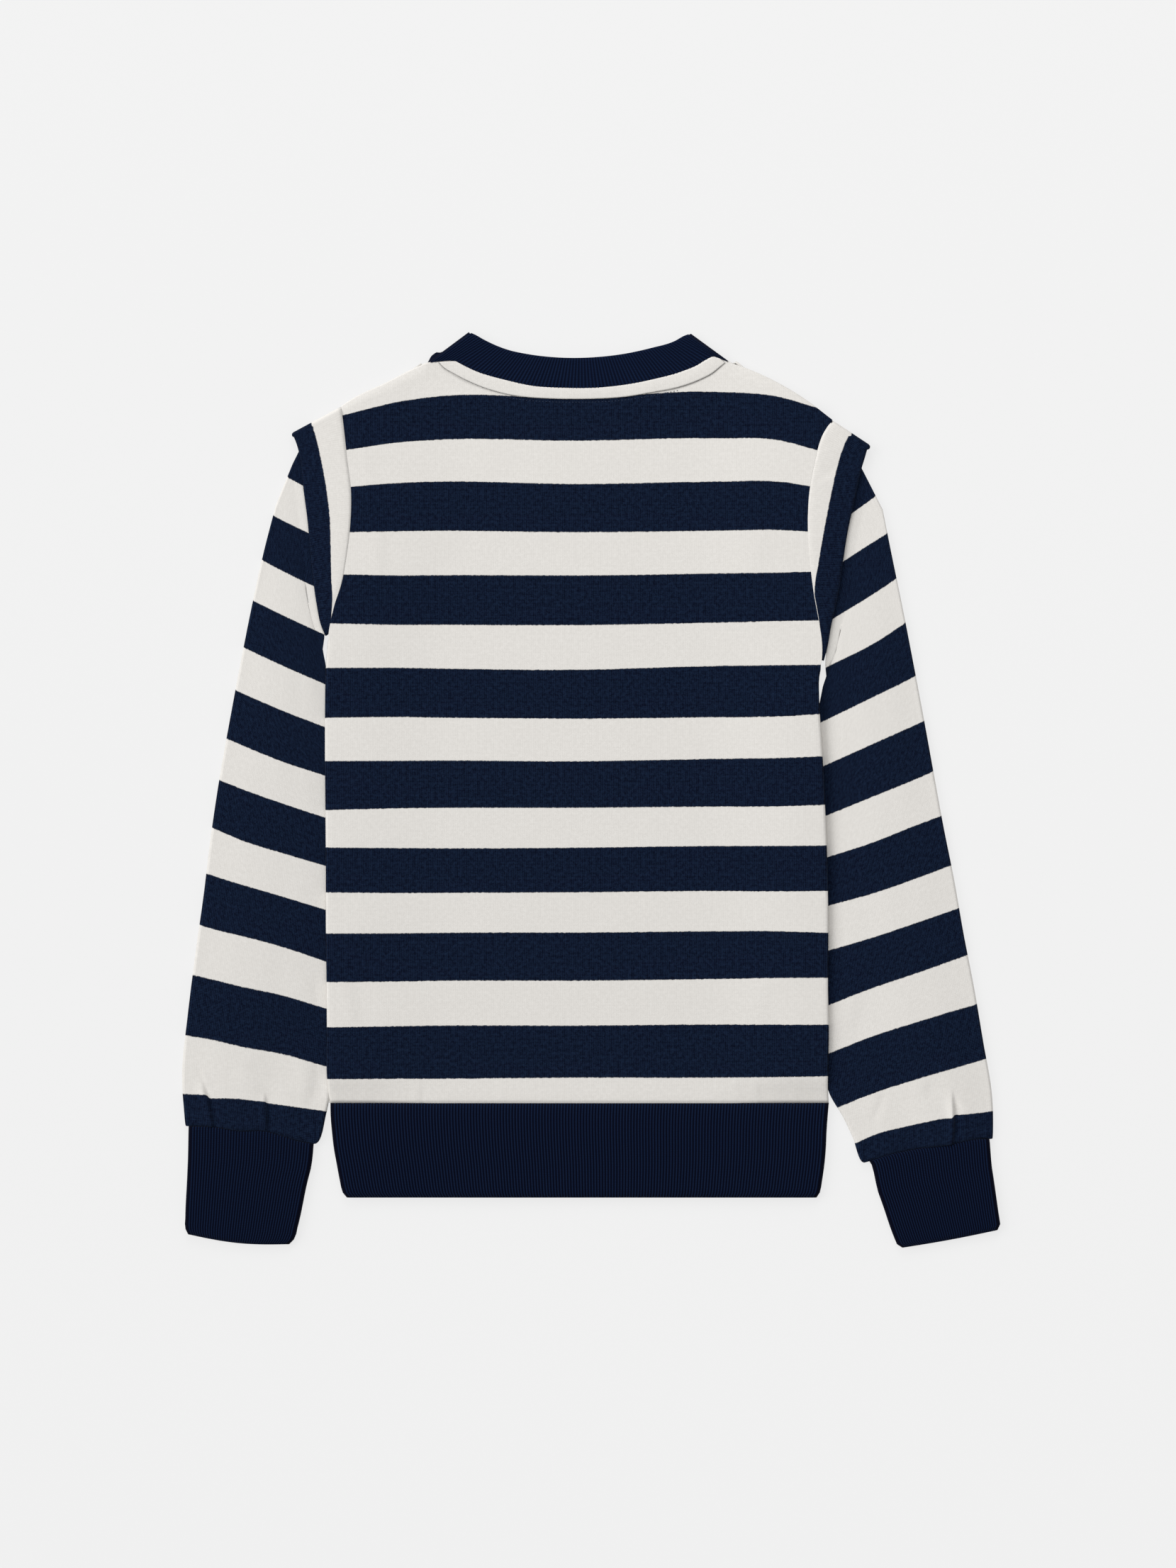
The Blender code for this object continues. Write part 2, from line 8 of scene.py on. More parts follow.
import bpy
import numpy as np
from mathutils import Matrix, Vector

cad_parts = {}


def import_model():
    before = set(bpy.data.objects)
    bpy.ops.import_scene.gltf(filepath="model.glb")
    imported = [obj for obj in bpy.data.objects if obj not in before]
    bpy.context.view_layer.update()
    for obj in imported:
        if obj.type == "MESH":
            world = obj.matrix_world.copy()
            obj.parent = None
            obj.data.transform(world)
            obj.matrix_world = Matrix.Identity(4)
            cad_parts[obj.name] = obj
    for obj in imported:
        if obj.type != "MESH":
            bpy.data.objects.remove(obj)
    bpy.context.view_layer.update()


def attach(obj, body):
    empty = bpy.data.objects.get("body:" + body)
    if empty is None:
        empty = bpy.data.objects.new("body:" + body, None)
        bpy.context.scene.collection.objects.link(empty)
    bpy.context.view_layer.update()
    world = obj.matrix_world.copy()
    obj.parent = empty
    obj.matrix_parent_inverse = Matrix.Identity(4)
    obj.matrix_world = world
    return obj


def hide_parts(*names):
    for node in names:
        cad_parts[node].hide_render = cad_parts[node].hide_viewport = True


MM = 0.001

# Photo frame and scale
PHOTO_WIDTH = 1659
PHOTO_HEIGHT = 2212
MM_PER_PIXEL = 0.47
PHOTO_CENTRE = (-2.35, 3.76)
CAMERA_HEIGHT = 3.2

# Cloth thickness and seams
JERSEY = 1.5
RIB_KNIT = 2.2
FLANGE_CLOTH = 2.2
STRIP_CLOTH = 0.6
SEAM_GAP = 0.1
NECK_GAP = -0.2
FOLD_WIDTH = 1.2

# Ribs of the bands
RIB_RAISE = 0.42
HEM_RIBS = 165
CUFF_RIBS = 42
NECK_RIBS = 84

# Tilt of a wall that faces up
UP = math.pi / 2

# Heights of a wall's middle above the floor, and how the body's sides rise over the sleeves
FRONT_LEVEL = JERSEY / 2
BACK_LEVEL = 4.6
ARMHOLE_LEVEL = 6.6
SIDE_LOFT = 2.1
SIDE_LIFT = 3.2
UNDERARM_LIFT = 2.6
SIDE_FLAT = 14.0
SIDE_RAMP = 80.0
UNDERARM_LEFT = 98.0
UNDERARM_RIGHT = 80.5
EXTRA_LIFT_LEFT = 0.0
EXTRA_LIFT_RIGHT = 2.2

# Colours of jersey, rib knit and thread; rib knit has a navy painted in shade for the ribs' troughs and a lit
# navy for their crests, which sets how pale the troughs are
WHITE = (0.782, 0.759, 0.724, 1.0)
WHITE_SHADE = (0.691, 0.668, 0.634, 1.0)
NAVY = (0.0004, 0.0018, 0.0095, 1.0)
NAVY_LIGHT = (0.0078, 0.0175, 0.0440, 1.0)
RIB_NAVY_SHADED = (0.0002, 0.0008, 0.0070, 1.0)
RIB_NAVY_LIT = (0.0048, 0.0135, 0.0430, 1.0)
THREAD = (0.0100, 0.0180, 0.0420, 1.0)
THREAD_LIGHT = (0.0300, 0.0420, 0.0750, 1.0)
FLOOR_DARK = (0.128, 0.128, 0.128, 1.0)
FLOOR_LIGHT = (0.133, 0.133, 0.133, 1.0)
FLOOR_GLOW = 0.75

# Light: azimuth, height and spread of the key in degrees, and how strong each light is
KEY_ANGLES = (165.0, 36.0, 40.0)
KEY_POWER = 1.75
FILL_PLACE = (0.0, 2.2, 1.6)
FILL_SIZE = 1.2
FILL_POWER = 24.5
ROOM_POWER = 0.50

# Body rows from the hem seam to the underarms, then up the armholes to the shoulder points:
# x and y of the left edge, x and y of the right edge, share of the neck shape on back and front
BODY_ROWS = [
    (-174, -207.9, 157.5, -207.9, 0, 0),
    (-174.9, -198, 156.8, -198, 0, 0),
    (-175.6, -187, 156.8, -187, 0, 0),
    (-175.5, -165, 157.3, -165, 0, 0),
    (-175.7, -130, 156.8, -130, 0, 0),
    (-176.2, -90, 157, -95, 0, 0),
    (-176.2, -50, 156.3, -50, 0, 0),
    (-176.5, -12, 154.8, -12, 0, 0),
    (-176.8, 30, 152.9, 25, 0, 0),
    (-176.7, 58, 151.6, 45, 0, 0),
    (-176.5, 72, 150.9, 60, 0, 0),
    (-175.8, 88, 150.9, 74, 0, 0),
    (-174.8, 100, 152.6, 84, 0, 0),
    (-173.2, 110, 152.6, 97, 0, 0),
    (-171, 120.5, 150.8, 110, 0, 0),
    (-166, 136, 147.5, 129.5, 0, 0.02),
    (-162.5, 154.5, 145, 150, 0.05, 0.07),
    (-160, 176, 143.5, 172, 0.1, 0.2),
    (-159.5, 197, 144, 194.5, 0.25, 0.45),
    (-162, 219, 147.5, 215.5, 0.45, 0.7),
    (-164.5, 241.5, 153.5, 236, 0.75, 0.95),
    (-165.3, 249, 156.6, 241, 0.9, 0.985),
    (-166, 254.5, 159.5, 245.5, 1, 1),
]

# Top edge of the back: x and y along the shoulders and the back neckline
TOP_EDGE = [
    (-166, 254.5), (-159.5, 258.8), (-136.5, 270), (-115.5, 280.5), (-109.5, 282.9), (-102, 283.9),
    (-90, 284), (-84, 280.8), (-76.5, 277.3), (-66.5, 274), (-54, 270.8), (-40, 267.8),
    (-20, 266.4), (2.5, 266.4), (21.5, 268.3), (40, 271.8), (59, 276.9), (69.5, 281.1),
    (76, 285), (80.5, 287), (85, 285.8), (91.5, 283.5), (99.5, 280.8), (123.5, 270),
    (142, 258.8), (159.5, 245.5),
]
NECK_LEFT = (-109.5, 282.9)
NECK_RIGHT = (91.5, 283.5)
# Bulge of the neckband's lower layer at its left fold: shares of the width where it starts and
# ends, and how far it stands out
NECK_BULGE = (0, 0.36, 2.3)
# Front neckline, lower than the back one and hidden under it
FRONT_NECKLINE = [
    (-109.5, 282.5), (-104, 252), (-92, 222), (-66, 198), (-38, 188), (-10, 185),
    (18, 188), (46, 198), (72, 222), (85, 252), (91.5, 283.5),
]
# Lower edge of the back neck strip: x and y
STRIP_EDGE = [
    (-101.5, 283.5), (-99.5, 281), (-90.5, 275.2), (-83.5, 271.5), (-71, 266.2), (-56, 262),
    (-44.5, 260.3), (-28, 259.2), (-10, 258.9), (21.5, 260.3), (40, 263.2), (59, 267),
    (71.5, 271.5), (80.5, 276.2), (84.5, 279.5), (88.5, 283),
]
# Free edge of the neckband, back half and hidden front half: x and y
NECK_FREE_BACK = [
    (-81.5, 303.6), (-77, 301.6), (-71.5, 298.5), (-65, 295.3), (-54.5, 291.4), (-44.5, 289.2),
    (-28, 287), (-10, 286.3), (2.5, 286.8), (21.5, 289), (40, 293), (54.5, 297.2),
    (62, 301.2), (66, 302.5),
]
NECK_FREE_FRONT = [
    (-81.5, 303.6), (-83, 256), (-74, 234), (-55, 216), (-33, 208), (-10, 205.5),
    (13, 208), (35, 216), (54, 234), (64.5, 256), (66, 302.5),
]

# Flange of each armhole from the underarm to the shoulder: seam x and y, free edge x and y,
# share of the width that the off-white inner band takes
FLANGE_LEFT = [
    (-174.7, 103, -176.4, 102, 0),
    (-173.5, 107.5, -179, 108, 0),
    (-171, 120.5, -182, 121.5, 0.1),
    (-166, 136, -184.5, 139, 0.34),
    (-162.5, 154.5, -186.5, 159.5, 0.43),
    (-160, 176, -188.5, 180.5, 0.47),
    (-159.5, 197, -191, 199.5, 0.51),
    (-162, 219, -193, 219, 0.56),
    (-164.5, 241.5, -196.2, 231, 0.59),
    (-165.6, 250.5, -197.5, 234, 0.6),
    (-166, 254.5, -198.5, 237, 0.6),
]
FLANGE_RIGHT = [
    (152.5, 86, 154, 85.5, 0),
    (153, 92, 155.9, 92.5, 0),
    (151, 110, 159, 109.5, 0),
    (147.5, 129.5, 163.5, 129.5, 0.02),
    (145, 150, 166.5, 150, 0.25),
    (143.5, 172, 170, 172, 0.4),
    (144, 194.5, 174.5, 192.5, 0.47),
    (147.5, 215.5, 178.5, 211, 0.49),
    (153.5, 236, 181.3, 220.5, 0.5),
    (157.8, 242.7, 182.7, 225.5, 0.5),
    (159.5, 245.5, 184.5, 229, 0.5),
]
# Its under layer's thickness, and how far its free edge stands off the sleeve
FLANGE_UNDER = 1.4
FLANGE_REST = 0.8

# Sleeve stations below the flange: outer fold x and y, inner fold x and y, loft of the middle
SLEEVE_LEFT = [
    (-209.5, 189, -176.6, 84, 0.2),
    (-217.5, 158, -174.5, 66, 0.5),
    (-225, 124, -172, 48, 0.8),
    (-232.5, 86.5, -170, 25.5, 1),
    (-240, 46.5, -169, -2, 1),
    (-246.7, 9, -168, -33.5, 1),
    (-252.7, -31, -168, -67.5, 1),
    (-257.6, -71, -169, -104, 1),
    (-262.8, -108, -171, -138, 1),
    (-268.3, -152, -172.5, -169.5, 1.2),
    (-271.6, -184, -173, -192, 1.5),
    (-271.3, -203, -174.9, -210, 1.7),
    (-270, -216, -178.9, -224, 1.9),
    (-269, -223.5, -184.5, -235, 1.9),
]
SLEEVE_RIGHT = [
    (193.2, 186, 153.4, 68, 0.2),
    (199.5, 154.5, 150, 50, 0.5),
    (206.3, 121.5, 147.5, 29, 0.8),
    (213.3, 85.5, 146, 7.5, 1),
    (220.2, 49, 145, -18, 1),
    (227, 11.5, 145, -47.5, 1),
    (233.5, -24, 146.5, -79.5, 1),
    (240.5, -59, 149, -112, 1),
    (247, -96, 152.5, -143, 1),
    (254, -132, 154.5, -171, 1.2),
    (260, -167.5, 156.9, -199, 1.5),
    (265.5, -200, 167.8, -219, 1.7),
    (266.5, -221, 176.3, -237, 1.9),
    (266, -231, 181.4, -247.2, 1.9),
]
SLEEVE_LOFT = 2.6
SLEEVE_UNDER_FLANGE = 1.5
SLEEVE_UNDER_LOFT = 1.6
# Lines across each sleeve head: y at the outer fold, y at the inner fold, and how far the second
# and the third one run beyond the flange's free edge
HEAD_LEFT = ((249, 226, 216), (100, 97, 92.5), (-1, 6))
HEAD_RIGHT = ((240.5, 214, 204), (82, 79, 73), (-0.4, 7.2))

# Seam between sleeve and cuff: x and y
SEAM_LEFT = [
    (-269, -223.3), (-250, -223.8), (-234, -226.4), (-216, -226.7), (-206, -229.4),
    (-197, -232.4), (-184.5, -235),
]
SEAM_RIGHT = [
    (181.5, -247.4), (196, -242.5), (208, -239.7), (222, -237.4), (237, -235.7), (243, -234.2),
    (255, -231.9), (266, -231.8),
]

# Cuff stations: outer x and y, inner x and y, bow
CUFF_LEFT = [
    (-267.3, -223.5, -184.2, -234, 0),
    (-267.6, -238, -184.9, -245, 0),
    (-268.3, -256, -188.9, -262, 0),
    (-269.6, -284, -194.9, -290, -1),
    (-269.6, -291, -197.2, -298, -2),
    (-267.8, -294.8, -200.5, -301.4, -2.6),
]
CUFF_RIGHT = [
    (263.8, -231.8, 183, -246.5, 0),
    (264.8, -244, 187.6, -260, 0),
    (267, -259, 193, -275, 0),
    (270.4, -283, 200.7, -297, 0),
    (271.2, -288.5, 202.8, -301.8, -0.3),
    (269.5, -292, 206, -303.8, -0.6),
]
CUFF_LOFT = 2.8

# Hem band rows: y, left x, right x
HEM_ROWS = [
    (-207.9, -173.3, 157.5),
    (-215.5, -173.2, 156.8),
    (-226.5, -172.3, 156),
    (-238, -171, 155.5),
    (-249, -169, 154.5),
    (-260.5, -166.8, 152.8),
    (-267.5, -165, 151.4),
    (-270.5, -162.5, 149.4),
]
HEM_LOFT = 3.1

# Borders of the navy stripes, from the top down: y at the columns named above each table
BACK_COLUMNS = (-157, -130, -101, -10, 82, 125, 146)
BACK_BORDERS = [
    (249.9, 256.6, 260.8, 259.4, 263.8, 260.1, 254),
    (225.9, 229.8, 231.9, 231.3, 232.8, 231.3, 225.8),
    (201, 203.3, 204.3, 202.7, 204.3, 204.1, 201),
    (170.6, 171.1, 171.5, 170.6, 171.5, 171.9, 170.7),
    (142.6, 142, 142.3, 142.1, 143.4, 144, 144.5),
    (109.7, 109.2, 109.2, 109, 110.6, 111.6, 112),
    (80.8, 80.9, 80.4, 79.6, 82.1, 82.6, 82.8),
    (47.8, 48.1, 47.7, 47, 47.9, 48.4, 49.6),
    (19.1, 19.2, 19.4, 18.9, 20.5, 21.1, 21.9),
    (-13.2, -12.5, -12.2, -12.1, -11.4, -11.2, -10.4),
    (-38.4, -38.6, -38.8, -38.4, -37.3, -37.2, -37),
    (-68.4, -68.6, -68.5, -68.1, -67.3, -67.5, -67.3),
    (-95.2, -95.1, -94.8, -94.6, -93.8, -93.7, -94.4),
    (-127.5, -127.3, -126.8, -126.7, -125.6, -124.8, -124.7),
    (-157.1, -156.7, -156.3, -156.3, -155.6, -155.7, -155.7),
    (-191.9, -191.8, -191.8, -191, -191, -190.5, -190.2),
]
LEFT_COLUMNS = (-266, -250, -232, -204, -178.4)
LEFT_BORDERS = [
    (280, 268, 255, 238, 224),
    (246, 236, 225, 208.4, 194.6),
    (211.5, 202.6, 193, 178.2, 165.9),
    (178.5, 169.5, 159.5, 144.4, 132),
    (147, 138.5, 129.2, 115.4, 103.5),
    (112, 103.5, 94.8, 81.7, 70.6),
    (80, 72.2, 64.2, 52.1, 42.2),
    (45, 37.3, 29.4, 18.1, 9.7),
    (14, 7.7, 0.6, -9.4, -17.9),
    (-19.5, -26, -33.7, -42.5, -50.1),
    (-52, -57.3, -62.9, -71.1, -79),
    (-88, -92.9, -97.1, -104.7, -113.5),
    (-122.5, -126.1, -130.5, -136.6, -144.4),
    (-163.5, -166.3, -170.6, -175.7, -183.2),
    (-202.3, -204, -205.2, -209.3, -212.9),
    (-233, -235, -238, -242, -246),
]
RIGHT_COLUMNS = (160, 186, 214, 242.3, 262)
RIGHT_BORDERS = [
    (203, 222, 243, 264, 279),
    (174, 192.8, 213.6, 234.5, 249),
    (147, 163.8, 181, 198.3, 210),
    (113.2, 129.1, 148, 167.8, 181.5),
    (83.4, 96.4, 114.9, 135.4, 149.5),
    (48.3, 60.9, 74.8, 92.1, 104),
    (18.5, 30.2, 42.7, 55, 63.5),
    (-15.6, -5, 6.4, 18.8, 27.5),
    (-43.6, -35.1, -24, -13.6, -6.5),
    (-76.3, -69.1, -59.5, -48.9, -41.5),
    (-105.8, -98.1, -88.7, -78.9, -72),
    (-142, -131.8, -122.3, -112.3, -105.3),
    (-173.9, -163.6, -154.5, -146, -140.5),
    (-212.5, -201.9, -192.6, -184.4, -178.6),
    (-243, -229.4, -222.1, -216.2, -213.8),
    (-270, -262, -252, -246, -243),
]

# Soft creases: x and y of the start, x and y of the end, half width, height (below 0 a trough)
BACK_CREASES = [
    (-166, 252, -162, 240, 2.5, -0.6),
    (104, 276, 140, 252, 5, 0.25),
    (95.5, -193, 97.5, -207, 1.2, 0.45),
    (98.5, -196, 100, -207, 1.1, -0.45),
    (108, -194, 110, -207.5, 1.2, 0.45),
    (112, -196, 113, -207.5, 1.1, -0.45),
    (-117, -195, -116, -207, 1.3, 0.4),
    (-112, -197, -112.5, -207, 1.2, -0.35),
    (60, -199, 61, -207, 1.4, 0.25),
    (-60, -199, -61, -207, 1.4, 0.25),
    (-150, -198, -149, -207, 1.5, 0.3),
    (134, -198, 135, -207, 1.5, 0.3),
]
LEFT_CREASES = [
    (-261, -186, -254.5, -203, 1.5, -0.4),
    (-258, -188, -250.5, -205, 2, 0.35),
    (-193, -178, -191, -212, 4.5, 0.3),
    (-203, -208, -200, -226, 5, 0.5),
]
RIGHT_CREASES = [
    (194, -201, 187, -219, 2.6, -0.35),
    (209, -228, 208.5, -235, 2.4, -0.5),
]
# Tucks and steps, high on their left side and low on their right, in the same columns
BACK_TUCKS = [
    (-148.5, 232, -137.5, 143, 2.4, 0.22),
    (-162, -38, -162, -68, 7, 0.30),
    (-160.5, -95, -160.5, -126, 5, 0.25),
    (-160.5, -126, -155.8, -157, 2.6, 0.35),
    (-143, -160, -139, -190, 5, 0.20),
    (114.5, 205, 113, 143, 4, 0.18),
    (146, -94, 146, -125, 5, 0.25),
    (147, -160, 147, -188, 5, 0.25),
    (118, -128, 113, -158, 4, 0.20),
    (-112, 269, -80, 260, 3, 0.35),
]
LEFT_TUCKS = [
    (-257, -198, -250.5, -226, 0.9, 1.5),
    (-216.5, -205, -215.5, -226, 0.8, 1.3),
    (-231, -186, -217, -205, 3, 0.35),
    (-184, -180, -186, -203, 3, 0.50),
    (-186, -126, -183, -148, 4, 0.30),
]
RIGHT_TUCKS = [
    (239.6, -205, 239.4, -236, 0.8, 1.6),
    (176.5, -118, 173, -162, 4, 0.35),
    (223.5, -192, 220.5, -203, 2.4, 0.25),
]
FLANGE_TUCKS = [
    (160, 211.5, 179.5, 211.5, 1.6, 0.45),
    (152, 205.5, 163, 208.5, 1.2, 0.30),
]
# Where a tuck moves a stripe's border: x, y, half width, half height, move
LEFT_STEPS = [(-254.3, -204, 8, 12, -1.1), (-215.8, -208, 5, 8, -0.5)]
RIGHT_STEPS = [(239.9, -217, 6, 10, 0.9)]


def smooth(start, end, value):
    """Soft step from 0 at start to 1 at end."""
    share = np.clip((value - start) / (end - start), 0.0, 1.0)
    return share * share * (3.0 - 2.0 * share)


def through(places, values, wanted):
    """Smooth curve through values given at rising places."""
    places = np.asarray(places, dtype=float)
    values = np.asarray(values, dtype=float)
    slopes = np.gradient(values, places, axis=0)
    wanted = np.asarray(wanted, dtype=float)
    index = np.clip(np.searchsorted(places, wanted) - 1, 0, len(places) - 2)
    room = places[index + 1] - places[index]
    t = np.clip((wanted - places[index]) / room, 0.0, 1.0)
    shape = t.shape + (1,) * (values.ndim - 1)
    t, room = t.reshape(shape), room.reshape(shape)
    start = (1 + 2 * t) * (1 - t) ** 2 * values[index] + t * (1 - t) ** 2 * room * slopes[index]
    end = t * t * (3 - 2 * t) * values[index + 1] - t * t * (1 - t) * room * slopes[index + 1]
    return start + end


def along(table, value, column=1):
    """Read one column of a table, on a smooth curve, at values of its first column."""
    rows = sorted(table)
    return through([row[0] for row in rows], [row[column] for row in rows], value)


def finer(table, step):
    """More rows of a table of two edges, about a step apart, on smooth curves."""
    values = np.array(table, dtype=float)
    left = np.hypot(*np.diff(values[:, 0:2], axis=0).T)
    right = np.hypot(*np.diff(values[:, 2:4], axis=0).T)
    places = np.r_[0.0, np.cumsum((left + right) / 2)]
    count = max(2, int(round(places[-1] / step)) + 1)
    return through(places, values, np.linspace(0.0, places[-1], count))


def spaced(points, count):
    """Even points along a smooth line through points."""
    points = np.asarray(points, dtype=float)
    steps = np.r_[0.0, np.cumsum(np.hypot(*np.diff(points, axis=0).T))]
    return through(steps, points, np.linspace(0.0, steps[-1], count))


def border_index(columns, borders, x, y):
    """Which stripe a point lies in: odd numbers start a navy stripe, even ones an off-white one."""
    inside = np.clip(x, columns[0], columns[-1])
    heights = []
    for row in borders:
        first = (row[1] - row[0]) / (columns[1] - columns[0])
        last = (row[-1] - row[-2]) / (columns[-1] - columns[-2])
        past = np.minimum(x - columns[0], 0.0) * first + np.maximum(x - columns[-1], 0.0) * last
        heights.append(through(columns, row, inside) + past)
    edges = [heights[0] + 30.0] + heights + [heights[-1] - 30.0]
    return sum(np.clip((high - y) / (high - low), 0.0, 1.0) for high, low in zip(edges, edges[1:]))


def place_along(line, x, y):
    """Share along a short bent line and distance to its left, and how strongly it shows there."""
    x1, y1, x2, y2 = line
    length = math.hypot(x2 - x1, y2 - y1)
    run_x, run_y = (x2 - x1) / length, (y2 - y1) / length
    share = ((x - x1) * run_x + (y - y1) * run_y) / length
    bend = 0.03 * length * np.sin(np.clip(share, 0.0, 1.0) * math.pi)
    off = (x - x1) * -run_y + (y - y1) * run_x - bend
    return off, smooth(-0.25, 0.3, share) * smooth(1.3, 0.75, share)


def crease_height(creases, x, y):
    """Sum of soft ridges and troughs along short lines."""
    total = np.zeros(np.shape(x))
    for crease in creases:
        off, fade = place_along(crease[:4], x, y)
        total += crease[5] * fade * np.exp(-(off / crease[4]) ** 2)
    return total


def tuck_height(tucks, x, y):
    """Sum of tucks: cloth folded over itself, with a sharp fall on the side away from the light."""
    total = np.zeros(np.shape(x))
    for tuck in tucks:
        off, fade = place_along(tuck[:4], x, y)
        fall = np.tanh(-off / tuck[4]) * np.exp(-(off / (5.0 * tuck[4])) ** 2)
        total += tuck[5] * fade * fall
    return total


def border_step(steps, x, y):
    """How far tucks move the stripes' borders."""
    total = np.zeros(np.shape(x))
    for place_x, place_y, width, height, move in steps:
        near = np.exp(-((x - place_x) / width) ** 2 - ((y - place_y) / height) ** 2)
        total += move * np.tanh((x - place_x) / 0.8) * near
    return total


def ripple(x, y, size, height, phase=0.0):
    """Gentle unevenness of cloth that lies loosely."""
    a = np.sin(x / size + 1.3 * np.sin(y / (1.7 * size) + phase))
    b = np.sin(y / (1.4 * size) + 0.9 * np.sin(x / (1.2 * size) + 2.0 * phase))
    return height * a * b


def add_object(name, points, faces, maps):
    """Make a smooth-shaded mesh object, facing outwards, with its texture maps."""
    first = points[faces[:, 0]]
    volume = np.einsum("ij,ij->", first, np.cross(points[faces[:, 1]], points[faces[:, 2]]))
    volume += np.einsum("ij,ij->", first, np.cross(points[faces[:, 2]], points[faces[:, 3]]))
    if volume < 0:
        faces = faces[:, ::-1]
    mesh = bpy.data.meshes.new(name)
    mesh.from_pydata((points * MM).tolist(), [], faces.tolist())
    corners = faces.reshape(-1)
    for map_name, values in maps.items():
        layer = mesh.uv_layers.new(name=map_name)
        layer.data.foreach_set("uv", values[corners].astype(np.float32).reshape(-1))
    mesh.polygons.foreach_set("use_smooth", np.ones(len(faces), dtype=bool))
    mesh.update()
    piece = bpy.data.objects.new(name, mesh)
    bpy.context.scene.collection.objects.link(piece)
    return piece


def cloth(name, flat, level, turn, out, thick, stripe, knit, raised=0.0, ring=False):
    """Close a wall of cloth round a grid of middle points.

    flat holds x and y, level z, turn the tilt of the wall (90 degrees faces up), out the
    level direction it turns towards. A ring joins its last column to its first. stripe and
    knit are the two texture maps, a pair of numbers for each grid point.
    """
    rows, columns = level.shape
    normal = np.dstack([out * np.cos(turn)[..., None], np.sin(turn)])
    middle = np.dstack([flat, level])
    half = np.broadcast_to(np.asarray(thick) / 2.0, level.shape)
    extra = np.broadcast_to(np.asarray(raised), level.shape)
    outer = middle + normal * (half + extra)[..., None]
    inner = middle - normal * half[..., None]
    points = np.concatenate([outer.reshape(-1, 3), inner.reshape(-1, 3)])
    shift = rows * columns
    index = np.arange(shift).reshape(rows, columns)
    if ring:
        index = np.concatenate([index, index[:, :1]], axis=1)
    a, b, c, d = index[:-1, :-1], index[:-1, 1:], index[1:, 1:], index[1:, :-1]
    walls = [np.stack([a, b, c, d], axis=-1), np.stack([d, c, b, a], axis=-1) + shift]
    low, high = index[0], index[-1]
    walls.append(np.stack([low[:-1] + shift, low[1:] + shift, low[1:], low[:-1]], axis=-1))
    walls.append(np.stack([high[:-1], high[1:], high[1:] + shift, high[:-1] + shift], axis=-1))
    if not ring:
        first, last = index[:, 0], index[:, -1]
        walls.append(np.stack([first[:-1], first[1:], first[1:] + shift, first[:-1] + shift], axis=-1))
        walls.append(np.stack([last[:-1] + shift, last[1:] + shift, last[1:], last[:-1]], axis=-1))
    faces = np.concatenate([wall.reshape(-1, 4) for wall in walls])
    maps = {"Stripe": np.tile(stripe.reshape(-1, 2), (2, 1)), "Knit": np.tile(knit.reshape(-1, 2), (2, 1))}
    return add_object(name, points, faces, maps)


def side_lift(y, underarm, extra):
    """Height of the body's side over the sleeve that lies under it."""
    rise = UNDERARM_LIFT * smooth(underarm + 20.0, underarm, y)
    rise += (SIDE_LIFT - UNDERARM_LIFT) * smooth(underarm, underarm - 10.0, y)
    rise += extra * smooth(underarm + 8.0, underarm - 16.0, y) * (0.25 + 0.75 * smooth(-150.0, 30.0, y))
    return rise * smooth(-207.0, -188.0, y)


def side_back(y, underarm, extra):
    """Height of the back's wall at its side."""
    folded = FRONT_LEVEL + side_lift(y, underarm, extra) + SIDE_LOFT
    return ARMHOLE_LEVEL + (folded - ARMHOLE_LEVEL) * smooth(underarm, underarm - 24.0, y)


def body_levels(from_left, from_right, y):
    """Heights of the front's and the back's walls at distances in from the sides."""
    front = FRONT_LEVEL
    back = BACK_LEVEL
    for distance, underarm, extra in ((from_left, UNDERARM_LEFT, EXTRA_LIFT_LEFT),
                                      (from_right, UNDERARM_RIGHT, EXTRA_LIFT_RIGHT)):
        near = smooth(SIDE_RAMP, SIDE_FLAT, distance)
        front = front + near * side_lift(y, underarm, extra)
        back = back + near * (side_back(y, underarm, extra) - BACK_LEVEL)
    return front, back


def front_edge():
    """Top edge of the front: the shoulders of the back with the lower neckline."""
    shoulders = [point for point in TOP_EDGE if point[0] < NECK_LEFT[0] or point[0] > NECK_RIGHT[0]]
    return sorted(shoulders + FRONT_NECKLINE)


def fold_steps(count):
    """Distances in from a rounded fold and the tilt of the wall there."""
    angles = np.linspace(0.0, UP, count)
    return FOLD_WIDTH * (1.0 - np.cos(angles)), angles


def body_grid(top_edge, share_column, step):
    """Flat points of a body panel, and which of its rows and columns are on folds."""
    steps, angles = fold_steps(5)
    top = BODY_ROWS[-1]
    chord = [(top[0], top[1]), (top[2], top[3])]
    rows = [tuple(row) + (0.0, UP) for row in finer(BODY_ROWS[:-1], step)]
    rows += [top + (drop, angle) for drop, angle in zip(steps[::-1], angles[::-1])]
    edge_steps = np.r_[steps, np.arange(1, 13) * 3.0 + FOLD_WIDTH]
    middle = np.linspace(0.0, 1.0, int(249 / step))[1:-1]
    flat = []
    for row in rows:
        left = row[0] + JERSEY / 2 * smooth(UNDERARM_LEFT + 8.0, UNDERARM_LEFT, row[1])
        right = row[2] - JERSEY / 2 * smooth(UNDERARM_RIGHT + 8.0, UNDERARM_RIGHT, row[3])
        inner = right - left - 2 * edge_steps[-1]
        across = np.r_[left + edge_steps, left + edge_steps[-1] + middle * inner, right - edge_steps[::-1]]
        share = (across - left) / (right - left)
        top_x = top[0] + share * (top[2] - top[0])
        shape = along(top_edge, top_x) - np.interp(top_x, *np.transpose(chord))
        y = row[1] + share * (row[3] - row[1]) + row[share_column] * shape - row[6]
        flat.append(np.column_stack([across, y]))
    row_angles = np.array([row[7] for row in rows])
    return np.array(flat), row_angles, angles


